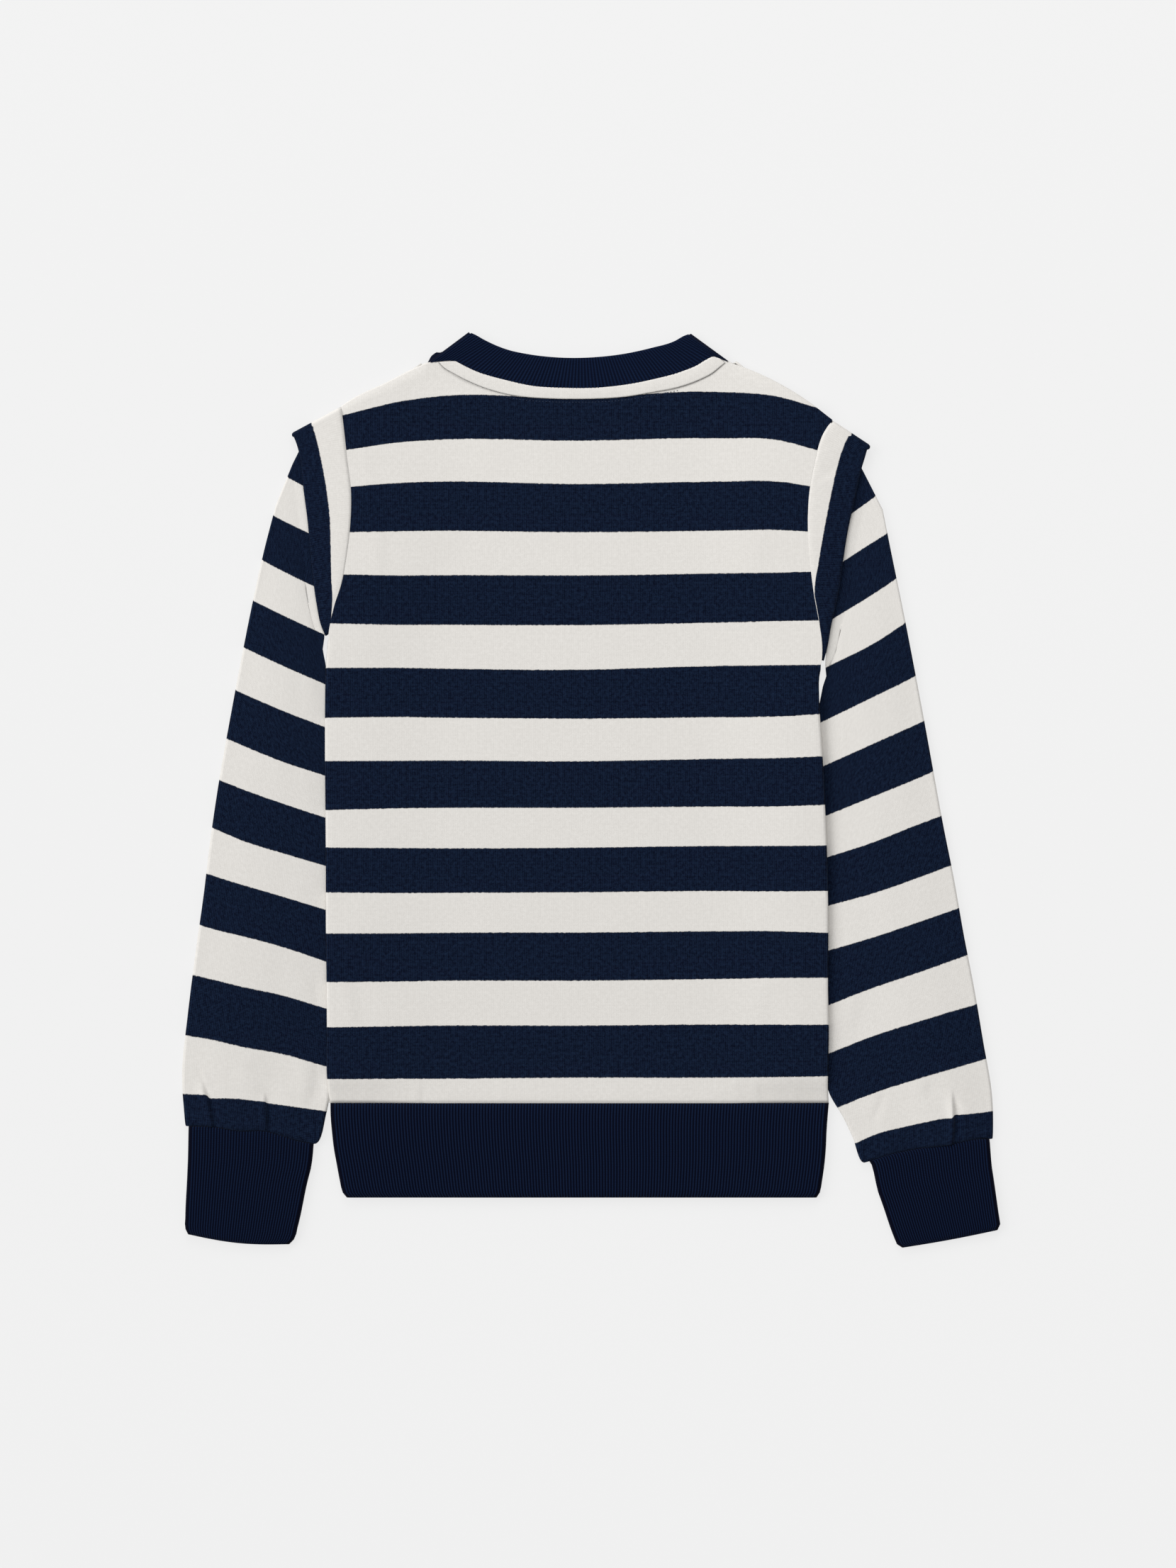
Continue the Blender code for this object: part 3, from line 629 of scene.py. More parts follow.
def body_panel(name, top_edge, share_column, facing, step):
    """Back (facing 1) or front (facing -1) with rounded side and shoulder folds."""
    flat, row_angles, fold_angles = body_grid(top_edge, share_column, step)
    rows, columns = flat.shape[:2]
    x, y = flat[..., 0], flat[..., 1]
    edges = x[:, [0, -1]]
    from_left, from_right = x - edges[:, :1], edges[:, 1:] - x
    front, back = body_levels(from_left, from_right, y)
    back = back + ripple(x, y, 34.0, 0.16) + ripple(x, y, 13.0, 0.05, 1.0)
    back = back + crease_height(BACK_CREASES, x, y) + tuck_height(BACK_TUCKS, x, y)
    back = back - 0.35 * smooth(5.0, 0.0, y - flat[:1, :, 1]) ** 2
    turn = np.full((rows, columns), UP)
    below = (y[:, [0, -1]] <= (UNDERARM_LEFT + 0.5, UNDERARM_RIGHT + 0.5))
    for step_in, angle in enumerate(fold_angles):
        turn[below[:, 0], step_in] = angle
        turn[below[:, 1], columns - 1 - step_in] = angle
    top_x = x[-1]
    shoulder = smooth(NECK_LEFT[0] + 2.0, NECK_LEFT[0] - 3.0, top_x)
    shoulder = shoulder + smooth(NECK_RIGHT[0] - 2.0, NECK_RIGHT[0] + 3.0, top_x)
    on_shoulder = np.zeros((rows, columns))
    for row in range(rows - len(fold_angles), rows):
        turn[row] = turn[row] + shoulder * (row_angles[row] - turn[row])
        on_shoulder[row] = shoulder
    out = np.zeros((rows, columns, 2))
    middle = columns // 2
    out[:, :middle, 0] = -1.0
    out[:, middle:, 0] = 1.0
    out[rows - len(fold_angles):, :middle] = (-0.42, 0.91)
    out[rows - len(fold_angles):, middle:] = (0.45, 0.89)
    flat = flat - out * (np.cos(turn) * on_shoulder * JERSEY / 2)[..., None]
    centre = (front + back) / 2
    half = (back - front) / 2 - SEAM_GAP / 2
    level = centre + facing * (SEAM_GAP / 2 + half * np.sin(turn))
    if facing < 0:
        level = np.where(turn > 1.5, front, level)
    stripe = np.dstack([border_index(BACK_COLUMNS, BACK_BORDERS, x, y), np.zeros_like(x)])
    knit = np.dstack([x, y]) * MM
    return cloth(name, flat, level, turn * facing, out, JERSEY, stripe, knit), flat, level


def square_to(points):
    """Level directions square to a line of points, to its left."""
    run = np.gradient(points, axis=0)
    run /= np.hypot(run[:, 0], run[:, 1])[:, None]
    return np.column_stack([-run[:, 1], run[:, 0]])


def neck_strip():
    """Strip sewn on the back along the neckline, lying on its cloth."""
    low_line = spaced(STRIP_EDGE, 160)
    top_points = spaced([point for point in TOP_EDGE if -101.6 < point[0] < 88.6], 160)
    share = np.linspace(0.0, 1.0, 9)
    points = np.array([low_line + part * (top_points - low_line) for part in share])
    crown = 0.2 * np.sin(np.pi * np.clip(share, 0.04, 0.96))[:, None]
    height = np.full(points.shape[:2], BACK_LEVEL + JERSEY / 2 + SEAM_GAP + STRIP_CLOTH / 2)
    height = height + crown + ripple(points[..., 0], points[..., 1], 4.0, 0.05)
    up = np.full(height.shape, UP)
    stripe = np.dstack([np.zeros(height.shape), np.tile(share[:, None], (1, 160))])
    return cloth("back_neck_strip_cloth", points, height, up, np.zeros(points.shape), STRIP_CLOTH,
                 stripe, points * MM)


def neck_stitches(flat, level):
    """Row of small stitches on the back, just below the strip."""
    places = spaced([(x, y - 2.0) for x, y in STRIP_EDGE if -60.0 < x < 62.0], 54)
    length, half_width, height = 1.1, 0.22, 0.18
    points, faces = [], []
    for start, end in zip(places, places[1:]):
        run = (end - start) / np.hypot(*(end - start))
        side = np.array([-run[1], run[0]])
        nearest = np.argmin(np.sum((flat - start) ** 2, axis=-1))
        top = level.reshape(-1)[nearest] + JERSEY / 2
        first = len(points)
        for part, rise in ((-0.5, -0.1), (-0.2, height), (0.2, height), (0.5, -0.1)):
            for across in (-1, 1):
                place = start + part * length * run + across * half_width * side
                points.append((place[0], place[1], top + rise))
        for step in (0, 2, 4):
            faces.append([first + step, first + step + 1, first + step + 3, first + step + 2])
    points = np.array(points)
    return add_object("neck_stitches", points, np.array(faces), {"Knit": points[:, :2] * MM})


def neckband():
    """Ribbed ring from the neckline up to the free edge, folded at the neck points."""
    half = RIB_KNIT / 2
    inset = half + FOLD_WIDTH
    per_rib = 6
    neckline = [point for point in TOP_EDGE if NECK_LEFT[0] <= point[0] <= NECK_RIGHT[0]]
    back_count = per_rib * NECK_RIBS + 1
    back_low = spaced(neckline, 800)
    back_low = back_low + NECK_GAP * square_to(back_low)
    back_high = spaced(NECK_FREE_BACK, 800)
    keep = np.linspace(10, 789, back_count).astype(int)
    back_low, back_high = back_low[keep], back_high[keep]
    front_low = spaced(FRONT_NECKLINE, 800)
    front_low = front_low + 2 * NECK_GAP * square_to(front_low)
    front_high = spaced(NECK_FREE_FRONT, 800)
    keep = np.linspace(24, 775, 120).astype(int)
    front_low, front_high = front_low[keep], front_high[keep]
    top, bottom = BACK_LEVEL, half
    centre, reach = (top + bottom) / 2, (top - bottom) / 2
    across = np.linspace(0.0, 1.0, 25)
    columns = []

    def add(low, high, level, angle, out_low, out_high, raise_by, rib):
        columns.append((np.array(low), np.array(high), level, angle, out_low, out_high, raise_by, rib))

    def add_fold(neck_point, free_point, side, square, angles, rib):
        for angle in angles:
            step = inset - FOLD_WIDTH * math.cos(angle)
            low = np.array(neck_point) + (-side * step, NECK_GAP)
            high = np.array(free_point) - step * np.array(square)
            add(low, high, centre + reach * math.sin(angle), angle, (side, 0.0), square, 0.0, rib)

    turns = np.linspace(UP, -UP, 15)[1:-1]
    for index, (low, high) in enumerate(zip(back_low, back_high)):
        wave = 0.5 - 0.5 * math.cos(2 * math.pi * index / per_rib)
        add(low, high, top, UP, (0, 0), (0, 0), RIB_RAISE * wave, index / per_rib)
    add_fold((NECK_RIGHT[0] + 0.8, NECK_RIGHT[1]), NECK_FREE_BACK[-1], 1, (0.83, 0.55), turns, 0.0)
    for index, (low, high) in enumerate(zip(front_low[::-1], front_high[::-1])):
        add(low, high, bottom, -UP, (0, 0), (0, 0), 0.0, index * 0.7)
    add_fold(NECK_LEFT, NECK_FREE_BACK[0], -1, (-0.6, 0.8), turns[::-1], 0.0)
    share = across[:, None, None]
    low = np.array([column[0] for column in columns])[None]
    high = np.array([column[1] for column in columns])[None]
    flat = low + share * (high - low)
    out_low = np.array([column[4] for column in columns])[None]
    out_high = np.array([column[5] for column in columns])[None]
    out = out_low + share * (out_high - out_low)
    level = np.tile([column[2] for column in columns], (25, 1))
    turn = np.tile([column[3] for column in columns], (25, 1))
    bulging = np.zeros(len(columns))
    bulging[-len(turns):] = smooth(0.5, 0.0, turns[::-1])
    bulging[-len(turns) - 6:-len(turns)] = np.linspace(0.2, 1.0, 6)
    start, end, height = NECK_BULGE
    bulge = smooth(start, start + 0.2, across) * smooth(end, end - 0.08, across) * height
    flat = flat + (bulge[:, None] * bulging)[..., None] * (-0.75, 0.66)
    edge = np.minimum(smooth(1.0, 0.93, across), 1.0)[:, None]
    raised = np.tile([column[6] for column in columns], (25, 1)) * edge
    raised = raised + 0.45 * (edge - 1.0) * (np.sin(turn) > 0.9)
    ribs = np.tile([column[7] for column in columns], (25, 1))
    stripe = np.dstack([ribs, np.tile(across[:, None], (1, len(columns)))])
    return cloth("neckband_knit", flat, level, turn, out, RIB_KNIT, stripe, flat * MM, raised, ring=True)


def flange(name, table, side, underarm, extra):
    """Double strip in the armhole seam, over the sleeve head and folded at the shoulder."""
    rows_table = np.vstack([finer(table[:-1], 2.5), table[-1]])
    seam = rows_table[:, :2] - (side * 0.15, 0.0)
    edge = rows_table[:, 2:4]
    width = np.hypot(*(edge - seam).T)[:, None]
    rows = len(rows_table)
    white = np.maximum(rows_table[:, 4:5], 0.02)
    inner, outer = np.linspace(0.0, 1.0, 9), np.linspace(0.0, 1.0, 12)[1:]
    share = np.hstack([white * inner, white + (1.0 - white) * outer])
    colour = np.tile(np.r_[0.5 + 0.5 * inner, 1.0 + 0.5 * outer], (rows, 1))
    columns = share.shape[1]
    flat = seam[:, None] + share[..., None] * (edge - seam)[:, None]

    apart = smooth(underarm, underarm + 10.0, seam[:, 1])
    lift = side_lift(seam[:, 1], underarm, extra)
    body_middle = (side_back(seam[:, 1], underarm, extra) + FRONT_LEVEL + lift) / 2
    seam_top = (body_middle + (ARMHOLE_LEVEL - body_middle) * apart)[:, None]
    seam_low = (body_middle + (np.maximum(FLANGE_UNDER / 2, FRONT_LEVEL + lift) - body_middle) * apart)[:, None]
    over = FRONT_LEVEL + SLEEVE_UNDER_FLANGE + SLEEVE_UNDER_LOFT + JERSEY / 2 + SEAM_GAP + FLANGE_REST
    crown = 0.3 * np.sin(math.pi * share) * smooth(4.0, 14.0, width)
    high = seam_top + (over - seam_top) * share + crown
    high = high + ripple(flat[..., 0], flat[..., 1], 9.0, 0.1) * share
    high = high + tuck_height(FLANGE_TUCKS, flat[..., 0], flat[..., 1])
    low = seam_low + (FLANGE_UNDER / 2 - seam_low) * share

    edge_round = 1.0 - 0.45 * smooth(1.4, 0.0, (1.0 - share) * width)
    start = (0.5 + 0.5 * smooth(0, 3, np.arange(rows)))[:, None]
    top_cloth = (JERSEY + (FLANGE_CLOTH - JERSEY) * smooth(0.0, 3.0, share * width)) * edge_round * start
    low_cloth = FLANGE_UNDER * edge_round * start
    along_fold = (edge[-1] - seam[-1]) / width[-1]
    fold = np.array([side * -along_fold[1], abs(along_fold[0])])
    grid, level, turn, out, thick = [], [], [], [], []

    def add(points, heights, angle, direction, cloth_thick):
        grid.append(points)
        level.append(heights)
        turn.append(np.full(columns, angle))
        out.append(np.tile(direction, (columns, 1)))
        thick.append(cloth_thick)

    last = rows - 1
    for index in range(last):
        add(flat[index], high[index], UP, (0.0, 0.0), top_cloth[index])
    middle = (high[-1] + low[-1]) / 2
    reach = (high[-1] - low[-1]) / 2
    for angle in np.linspace(UP, -UP, 11):
        upper = 0.5 + angle / math.pi
        cloth_thick = top_cloth[-1] * upper + low_cloth[-1] * (1.0 - upper)
        inwards = FLANGE_CLOTH / 2 + 1.2 * (1.0 - math.cos(angle))
        points = flat[-1] - (0.0, inwards / fold[1])
        add(points, middle + reach * math.sin(angle), angle, fold, cloth_thick)
    for index in reversed(range(last)):
        add(flat[index], low[index], -UP, (0.0, 0.0), low_cloth[index])
    grid = np.array(grid)
    order = np.r_[np.arange(last), np.full(11, last), np.arange(last)[::-1]]
    stripe = np.dstack([colour[order], np.zeros(grid.shape[:2])])
    run = np.tile(np.arange(len(grid))[:, None] * 2.5, (1, columns))
    knit = np.dstack([run, share[order] * width[order]]) * MM
    return cloth(name, grid, np.array(level), np.array(turn), np.array(out), np.array(thick), stripe, knit)


def tube_columns(top_count, bottom_count):
    """Columns round a flattened tube: fold or span they lie in, share of the span and tilt."""
    turns = np.linspace(0.0, UP, 6)[:-1]
    columns = [("outer", 0.0, angle) for angle in turns]
    columns += [("span", share, UP) for share in np.linspace(0.0, 1.0, top_count)]
    columns += [("inner", 0.0, angle) for angle in turns[::-1]]
    columns += [("inner", 0.0, -angle) for angle in turns[1:]]
    columns += [("span", share, -UP) for share in np.linspace(1.0, 0.0, bottom_count)]
    columns += [("outer", 0.0, -angle) for angle in turns[:0:-1]]
    return columns


def tube(name, lines, levels, thick, top_count, bottom_count, stripe_of=None, ribs=0):
    """Flattened tube from a list of lines across it and the heights of its two walls.

    A line turns shares from the outer to the inner fold into flat points; levels turns a
    station's number, shares across it and flat points into the low and the high wall's heights.
    """
    kind, place, turn = (np.array(values) for values in zip(*tube_columns(top_count, bottom_count)))
    step = thick / 2 + FOLD_WIDTH * (1.0 - np.cos(turn))
    side = np.where(kind == "inner", 1.0, -1.0)[:, None]
    grid, level, out, knits = [], [], [], []
    run = 0.0
    before = None
    for station, line in enumerate(lines):
        start, end = line(np.array([0.0, 1.0]))
        length = np.hypot(*(end - start))
        span = thick / 2 + FOLD_WIDTH + place * (length - thick - 2 * FOLD_WIDTH)
        across = np.select([kind == "outer", kind == "inner"], [step, length - step], span)
        points = line(across / length)
        if before is not None:
            run += np.hypot(*(points.mean(axis=0) - before))
        before = points.mean(axis=0)
        low, high = levels(station, across / length, points)
        grid.append(points)
        level.append((low + high) / 2 + (high - low) / 2 * np.sin(turn))
        out.append(side * (end - start) / length)
        knits.append(np.column_stack([across, np.full(len(turn), run)]))
    grid, level, out = np.array(grid), np.array(level), np.array(out)
    raised = np.zeros(level.shape)
    if ribs:
        on_top = slice(5, 5 + top_count)
        rib_index = np.where(kind == "inner", ribs, ribs * place)
        wave = np.zeros(len(turn))
        wave[on_top] = 0.5 - 0.5 * np.cos(2 * math.pi * rib_index[on_top])
        raised = RIB_RAISE * np.tile(wave, (len(lines), 1))
        ends = np.linspace(0.0, 1.0, len(lines))[:, None]
        fade = smooth(0.0, 0.05, ends) * smooth(1.0, 0.97, ends)
        raised = raised * (0.3 + 0.7 * fade) - 0.35 * (1.0 - smooth(1.0, 0.965, ends)) * (np.sin(turn) > 0.9)
        stripe = np.dstack([np.tile(rib_index, (len(lines), 1)), np.tile(ends, (1, len(turn)))])
    else:
        stripe = stripe_of(grid[..., 0], grid[..., 1])
    knit = np.array(knits) * MM
    turns = np.tile(turn, (len(lines), 1))
    return cloth(name, grid, level, turns, out, thick, stripe, knit, raised, ring=True)


def straight(outer_x, outer_y, inner_x, inner_y, bow=0.0):
    """Line across a tube, bowed along it in the middle."""
    start = np.array([outer_x, outer_y])
    end = np.array([inner_x, inner_y])

    def line(share):
        share = np.asarray(share)
        points = start + share[:, None] * (end - start)
        points[:, 1] += bow * np.sin(math.pi * np.clip(share, 0.0, 1.0))
        return points
    return line


def seam_line(line, seam, amount):
    """A line across a tube drawn towards the cuff's seam by an amount from 0 to 1."""
    def moved(share):
        points = line(share)
        points[:, 1] += amount * (along(seam, points[:, 0]) - points[:, 1])
        return points
    return moved


def curved(edge_table, top_y, end_y, away, away_end, side):
    """Line across a sleeve head that keeps a distance from an edge given by y and x."""
    def line(share):
        y = top_y + np.asarray(share) * (end_y - top_y)
        offset = away + (away_end - away) * smooth(0.82, 1.0, share)
        x = along(edge_table, y) + side * offset
        return np.column_stack([x, y])
    return line


def between(first, second, share_between):
    """Line part of the way from one line to another."""
    def line(share):
        return first(share) * (1.0 - share_between) + second(share) * share_between
    return line


def sleeve(name, side, flange_table, head_table, table, seam, columns, borders, creases, tucks, steps):
    """Sleeve from under the flange to the cuff seam."""
    tops, ends, away = head_table
    armhole = [(row[1], row[0]) for row in flange_table]
    free_edge = [(row[3], row[2]) for row in flange_table]
    head = [
        curved(armhole, tops[0], ends[0], 3.6, 2.6, side),
        curved(free_edge, tops[1], ends[1], away[0], 1.5, side),
        curved(free_edge, tops[2], ends[2], away[1], 2.2, side),
        straight(*table[0][:4]),
    ]
    lines, puffs, rises = [], [], []
    for start, (count, puff_from, puff_to, rise_from, rise_to) in enumerate((
        (8, 0.0, 0.0, 1.0, 0.9), (6, 0.0, 0.0, 0.9, 0.25), (9, 0.0, 0.2, 0.25, 0.0),
    )):
        for part in np.arange(count) / count:
            lines.append(between(head[start], head[start + 1], part))
            puffs.append(puff_from + (puff_to - puff_from) * part)
            rises.append(rise_from + (rise_to - rise_from) * part)
    fine = finer(table, 2.2)
    for index, row in enumerate(fine):
        amount = smooth(len(fine) - 9, len(fine) - 1, index)
        lines.append(seam_line(straight(*row[:4]), seam, amount))
        puffs.append(row[4])
        rises.append(0.0)
    total = len(lines)

    def levels(station, share, points):
        low = np.full(share.shape, FRONT_LEVEL + SLEEVE_UNDER_FLANGE * rises[station])
        to_end = total - 1 - station
        puff = puffs[station] * smooth(0.0, 0.3, share) * smooth(0.72, 0.42, share)
        puff = puff + 1.1 * smooth(30, 4, to_end) * smooth(0.55, 0.8, share)
        puff = puff - (SLEEVE_LOFT - SLEEVE_UNDER_LOFT) * smooth(30, 8, station)
        slim = 1.05 * smooth(0.66, 0.9, share) * smooth(0, 12, to_end) * smooth(8, 30, station)
        x, y = points.T
        inside = smooth(0.0, 0.06, share) * smooth(1.0, 0.93, share)
        soft = ripple(x, y, 21.0, 0.1) * smooth(16, 30, station) * smooth(0.8, 0.5, share)
        folds = crease_height(creases, x, y) + tuck_height(tucks, x, y)
        dip = 1.3 * smooth(3.5, 0.0, to_end)
        high = low + SLEEVE_LOFT + puff - slim + (soft + folds) * inside - dip
        return low, np.maximum(high, low + JERSEY)

    def stripe_of(x, y):
        return np.dstack([border_index(columns, borders, x, y - border_step(steps, x, y)), np.zeros_like(x)])

    return tube(name, lines, levels, JERSEY, 160, 24, stripe_of)


def band(name, lines, loft, rib_count):
    """Ribbed band: ribs on its upper side, a plain under side on the floor."""
    def levels(station, share, points):
        low = np.full(share.shape, RIB_KNIT / 2)
        x, y = points.T
        return low, low + loft + ripple(x, y, 27.0, 0.2) - 0.5 * smooth(2.0, 0.0, station)
    return tube(name, lines, levels, RIB_KNIT, 6 * rib_count + 1, 40, ribs=rib_count)


def fill(tree, target, **inputs):
    """Set or link a node's inputs, by name or by number after an underscore."""
    for key, value in inputs.items():
        socket = target.inputs[int(key[1:])] if key[0] == "_" else target.inputs[key.replace("_", " ")]
        if isinstance(value, bpy.types.NodeSocket):
            tree.links.new(value, socket)
        else:
            socket.default_value = value
    return target


def node(tree, kind, **inputs):
    """Add a shader node and fill its inputs."""
    return fill(tree, tree.nodes.new(kind), **inputs)


def math_node(tree, operation, first, second=0.0):
    """Sum, product or other operation on two values."""
    made = node(tree, "ShaderNodeMath", _0=first, _1=second)
    made.operation = operation
    return made.outputs[0]


def map_node(tree, value, low, high, to_low=0.0, to_high=1.0, soft=True):
    """Turn a range of a value into another range, softly at its ends or evenly."""
    made = node(tree, "ShaderNodeMapRange", Value=value, From_Min=low, From_Max=high,
                To_Min=to_low, To_Max=to_high)
    made.interpolation_type = "SMOOTHSTEP" if soft else "LINEAR"
    return made.outputs[0]


def mix_node(tree, share, first, second):
    """Mix two colours."""
    made = tree.nodes.new("ShaderNodeMix")
    made.data_type = "RGBA"
    return fill(tree, made, _0=share, _6=first, _7=second).outputs[2]


def noise_node(tree, vector, scale, detail=2.0, rough=0.5):
    """Soft random values from 0 to 1."""
    made = node(tree, "ShaderNodeTexNoise", Vector=vector, Scale=scale, Detail=detail, Roughness=rough)
    return made.outputs["Fac"]


def uv_node(tree, name):
    """One of the mesh's maps."""
    made = tree.nodes.new("ShaderNodeUVMap")
    made.uv_map = name
    return made.outputs[0]


def wave_node(tree, vector, spacing, direction, distortion, detail_scale):
    """Rows of knit stitches, a spacing apart in metres."""
    made = node(tree, "ShaderNodeTexWave", Vector=vector, Scale=0.314 / spacing, Distortion=distortion,
                Detail=1.0, Detail_Scale=detail_scale)
    made.bands_direction = direction
    return made.outputs["Fac"]


def new_material(name):
    """Empty material, its node tree and its surface shader."""
    material = bpy.data.materials.new(name)
    material.use_nodes = True
    tree = material.node_tree
    return material, tree, tree.nodes["Principled BSDF"]


def thread_material(name):
    """Navy sewing thread, a little paler than the cloth."""
    material, tree, shader = new_material(name)
    twist = noise_node(tree, uv_node(tree, "Knit"), 900.0)
    fill(tree, shader, Base_Color=mix_node(tree, twist, THREAD, THREAD_LIGHT), Roughness=0.7,
         Specular_IOR_Level=0.15)
    return material


def cloth_surface(tree, shader, colour, rough, grain, strength, distance):
    """Dull cloth with a little nap, and stitches as fine relief."""
    bump = node(tree, "ShaderNodeBump", Strength=strength, Distance=distance, Height=grain)
    fill(tree, shader, Base_Color=colour, Roughness=rough, Specular_IOR_Level=0.06, Sheen_Weight=0.03,
         Sheen_Roughness=0.5, Normal=bump.outputs[0])


def jersey_material(name, striped=True, edge_line=False):
    """Soft jersey: fine wales and courses, a little nap, navy stripes where the map says so."""
    material, tree, shader = new_material(name)
    knit = uv_node(tree, "Knit")
    stripe = node(tree, "ShaderNodeSeparateXYZ", _0=uv_node(tree, "Stripe"))
    wales = wave_node(tree, knit, 0.0012, "X", 1.6, 2.0)
    courses = wave_node(tree, knit, 0.0009, "Y", 2.0, 2.0)
    fine = noise_node(tree, knit, 420.0, 4.0, 0.75)
    broad = noise_node(tree, knit, 60.0, 3.0, 0.55)
    stitch = math_node(tree, "MULTIPLY", wales, courses)
    grain = math_node(tree, "ADD", math_node(tree, "MULTIPLY", stitch, 0.35),
                      math_node(tree, "MULTIPLY", fine, 0.85))
    lit = map_node(tree, grain, 0.38, 0.68, soft=False)
    white = mix_node(tree, lit, WHITE_SHADE, WHITE)
    colour = mix_node(tree, map_node(tree, broad, 0.3, 0.7, 0.0, 0.18), white, WHITE_SHADE)
    if striped:
        navy = mix_node(tree, lit, NAVY, NAVY_LIGHT)
        jag = math_node(tree, "MULTIPLY", math_node(tree, "SUBTRACT", fine, 0.5), 0.05)
        place = math_node(tree, "ADD", stripe.outputs[0], jag)
        swing = math_node(tree, "SINE", math_node(tree, "MULTIPLY", place, math.pi))
        colour = mix_node(tree, map_node(tree, swing, 0.035, -0.035), colour, navy)
    if edge_line:
        line = math_node(tree, "MULTIPLY", map_node(tree, stripe.outputs[1], 0.055, 0.02),
                         map_node(tree, fine, 0.35, 0.65, 0.3, 0.8))
        colour = mix_node(tree, line, colour, NAVY)
    cloth_surface(tree, shader, colour, 0.92, grain, 0.35, 0.00022)
    return material


def rib_material(name, trough_lit_share):
    """Navy rib knit: the ribs are in the mesh; their stitches are here, with painted shade in their troughs and
    painted light on their crests.
    """
    material, tree, shader = new_material(name)
    knit = uv_node(tree, "Knit")
    stripe = node(tree, "ShaderNodeSeparateXYZ", _0=uv_node(tree, "Stripe"))
    courses = wave_node(tree, knit, 0.0011, "Y", 2.5, 1.0)
    fine = noise_node(tree, knit, 1100.0, 3.0, 0.6)
    rib = math_node(tree, "COSINE", math_node(tree, "MULTIPLY", stripe.outputs[0], 2 * math.pi))
    # Painted light and shade: the crests get the lit navy and the troughs the navy painted in shade
    crest_lit_share = map_node(tree, rib, 0.7, -0.9, trough_lit_share)
    grain = math_node(tree, "ADD", math_node(tree, "MULTIPLY", courses, 0.4),
                      math_node(tree, "MULTIPLY", fine, 0.6))
    share = math_node(tree, "MULTIPLY", crest_lit_share, map_node(tree, grain, 0.2, 0.8, 0.45, 1.0))
    cloth_surface(tree, shader, mix_node(tree, share, RIB_NAVY_SHADED, RIB_NAVY_LIT), 0.9, grain, 0.4, 0.0002)
    return material


def floor_material():
    """Pale floor that glows a little, so that shadows on it stay faint."""
    material, tree, shader = new_material("pale_floor")
    speckle = noise_node(tree, node(tree, "ShaderNodeTexCoord").outputs["Object"], 300.0)
    fill(tree, shader, Base_Color=mix_node(tree, speckle, FLOOR_DARK, FLOOR_LIGHT), Roughness=0.9,
         Specular_IOR_Level=0.0, Emission_Color=(1.0, 1.0, 1.0, 1.0), Emission_Strength=FLOOR_GLOW)
    return material


def dress(piece, node_name, material):
    """Give a piece its material, hide the CAD node it stands for and hang it on the root."""
    piece.data.materials.append(material)
    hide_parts(node_name)
    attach(piece, "root")


def soft_sun(name, azimuth, height, spread, power):
    """Soft light from far away: azimuth from +X towards +Y, height above the floor, in degrees."""
    light = bpy.data.lights.new(name, "SUN")
    light.angle = math.radians(spread)
    light.energy = power
    lamp = bpy.data.objects.new(name, light)
    lamp.rotation_euler = (0.0, math.radians(90.0 - height), math.radians(azimuth))
    bpy.context.scene.collection.objects.link(lamp)


def soft_panel(name, place, size, power):
    """Square panel of soft light that faces the garment."""
    light = bpy.data.lights.new(name, "AREA")
    light.size = size
    light.energy = power
    lamp = bpy.data.objects.new(name, light)
    lamp.location = place
    lamp.rotation_euler = Vector(place).to_track_quat("Z", "Y").to_euler()
    bpy.context.scene.collection.objects.link(lamp)


def set_stage():
    """Pale floor, soft light mostly from the left, and the camera straight above."""
    mesh = bpy.data.meshes.new("floor")
    reach, level = 4.0, -0.0002
    corners = [(-reach, -reach, level), (reach, -reach, level), (reach, reach, level), (-reach, reach, level)]
    mesh.from_pydata(corners, [], [(0, 1, 2, 3)])
    floor = bpy.data.objects.new("floor", mesh)
    floor.data.materials.append(floor_material())
    bpy.context.scene.collection.objects.link(floor)
    soft_sun("key", *KEY_ANGLES, KEY_POWER)
    soft_panel("top_fill", FILL_PLACE, FILL_SIZE, FILL_POWER)
    world = bpy.data.worlds.new("room")
    world.use_nodes = True
    room = world.node_tree.nodes["Background"]
    fill(world.node_tree, room, Color=(1.0, 1.0, 1.0, 1.0), Strength=ROOM_POWER)
    bpy.context.scene.world = world
    bpy.context.scene.view_settings.view_transform = "Standard"
    camera = bpy.data.cameras.new("camera")
    camera.sensor_width = 36.0
    frame_height = PHOTO_HEIGHT * MM_PER_PIXEL * MM
    camera.lens = camera.sensor_width * (CAMERA_HEIGHT - 0.005) / frame_height
    viewer = bpy.data.objects.new("camera", camera)
    viewer.location = (PHOTO_CENTRE[0] * MM, PHOTO_CENTRE[1] * MM, CAMERA_HEIGHT)
    bpy.context.scene.collection.objects.link(viewer)
    bpy.context.scene.camera = viewer


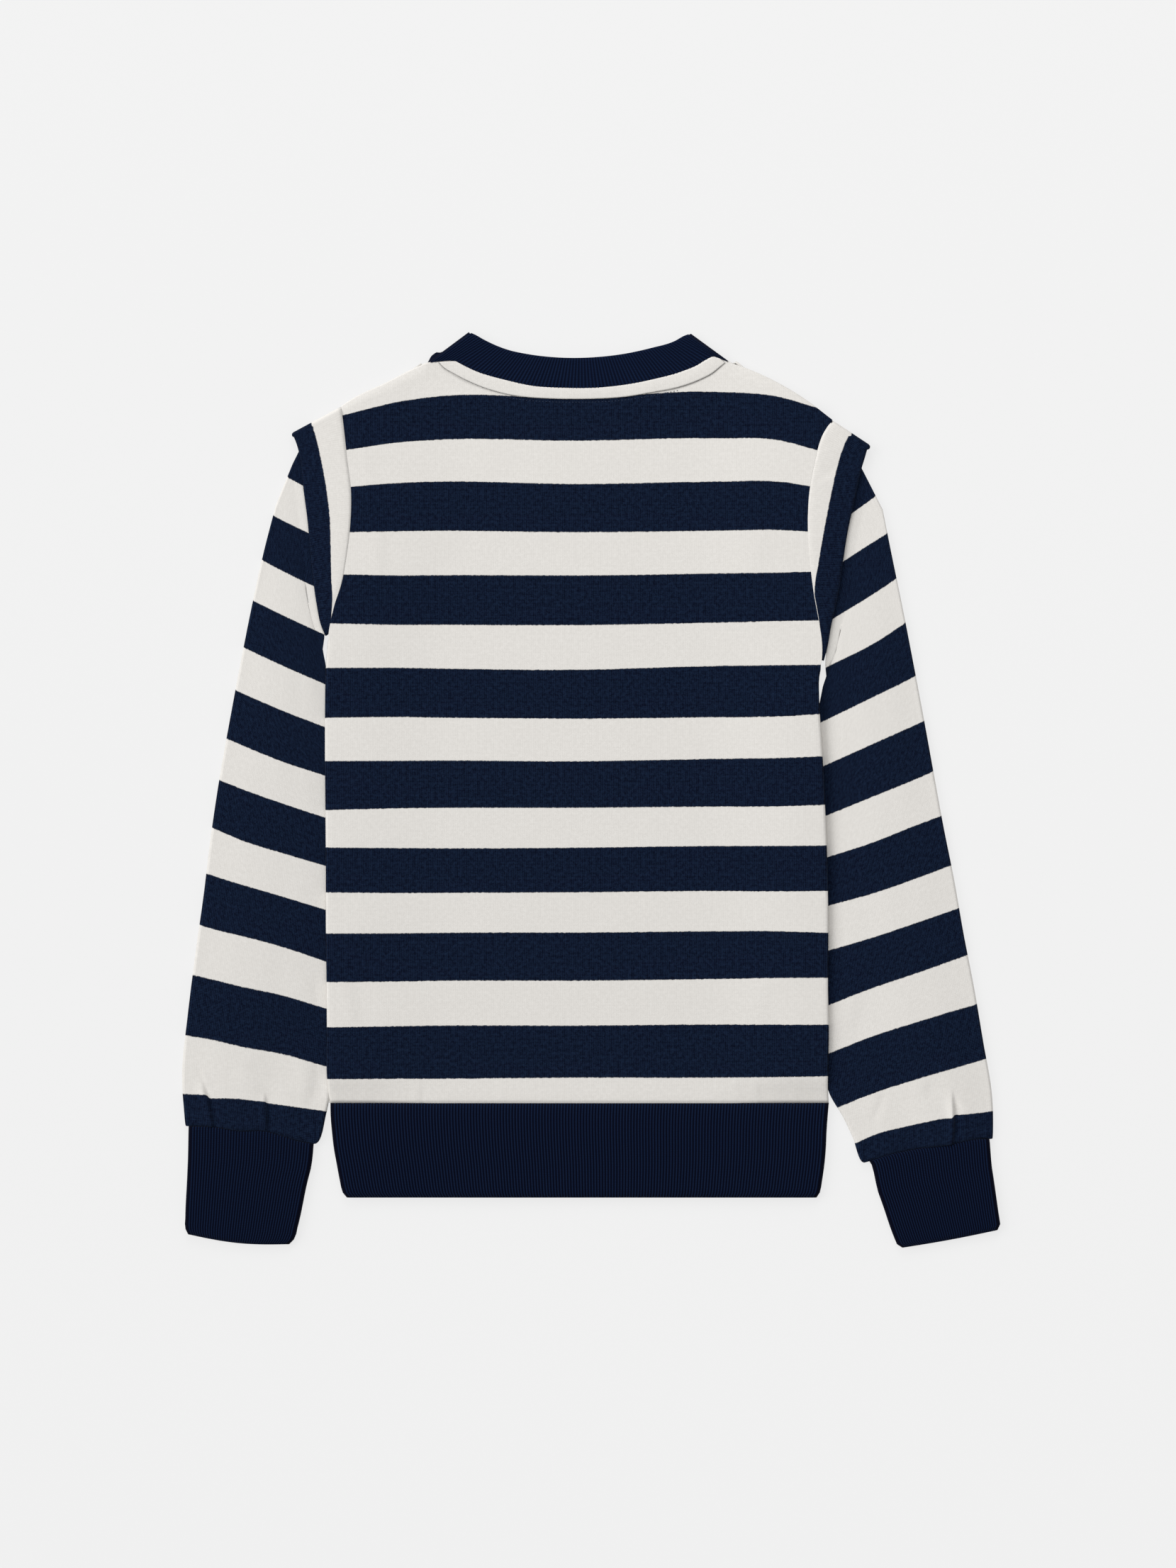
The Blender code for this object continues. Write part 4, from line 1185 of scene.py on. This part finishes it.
def main():
    """Build and dress every piece, and set the stage."""
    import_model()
    set_stage()
    jersey = jersey_material("jersey")
    strip_jersey = jersey_material("strip_jersey", striped=False, edge_line=True)
    rib = rib_material("rib_knit", 0.0)
    neck_rib = rib_material("neck_rib_knit", 0.25)

    sleeves = (
        ("left", -1, FLANGE_LEFT, HEAD_LEFT, SLEEVE_LEFT, SEAM_LEFT, LEFT_COLUMNS, LEFT_BORDERS,
         LEFT_CREASES, LEFT_TUCKS, LEFT_STEPS),
        ("right", 1, FLANGE_RIGHT, HEAD_RIGHT, SLEEVE_RIGHT, SEAM_RIGHT, RIGHT_COLUMNS, RIGHT_BORDERS,
         RIGHT_CREASES, RIGHT_TUCKS, RIGHT_STEPS),
    )
    for hand, *tables in sleeves:
        dress(sleeve(f"sleeve_{hand}_cloth", *tables), f"sleeve_{hand}", jersey)
    front, _, _ = body_panel("front_cloth", front_edge(), 5, -1, 5.0)
    dress(front, "front_panel", jersey)
    back, back_flat, back_level = body_panel("back_cloth", TOP_EDGE, 4, 1, 2.5)
    dress(back, "back_panel", jersey)
    dress(neck_strip(), "back_neck_strip", strip_jersey)
    stitches = neck_stitches(back_flat, back_level)
    stitches.data.materials.append(thread_material("thread"))
    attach(stitches, "root")
    dress(neckband(), "neckband", neck_rib)
    flanges = (("left", FLANGE_LEFT, -1, UNDERARM_LEFT, EXTRA_LIFT_LEFT),
               ("right", FLANGE_RIGHT, 1, UNDERARM_RIGHT, EXTRA_LIFT_RIGHT))
    for hand, *tables in flanges:
        dress(flange(f"flange_{hand}_cloth", *tables), f"flange_{hand}", jersey)
    for name, table, seam in (("cuff_left", CUFF_LEFT, SEAM_LEFT), ("cuff_right", CUFF_RIGHT, SEAM_RIGHT)):
        lines = [seam_line(straight(*row), seam, 1.0 - smooth(0, 5, index))
                 for index, row in enumerate(finer(table, 4.0))]
        dress(band(name + "_knit", lines, CUFF_LOFT, CUFF_RIBS), name, rib)
    hem_table = [(row[1], row[0], row[2], row[0]) for row in HEM_ROWS]
    hem_lines = [straight(*row) for row in finer(hem_table, 4.0)]
    dress(band("hem_knit", hem_lines, HEM_LOFT, HEM_RIBS), "hem_band", rib)


main()
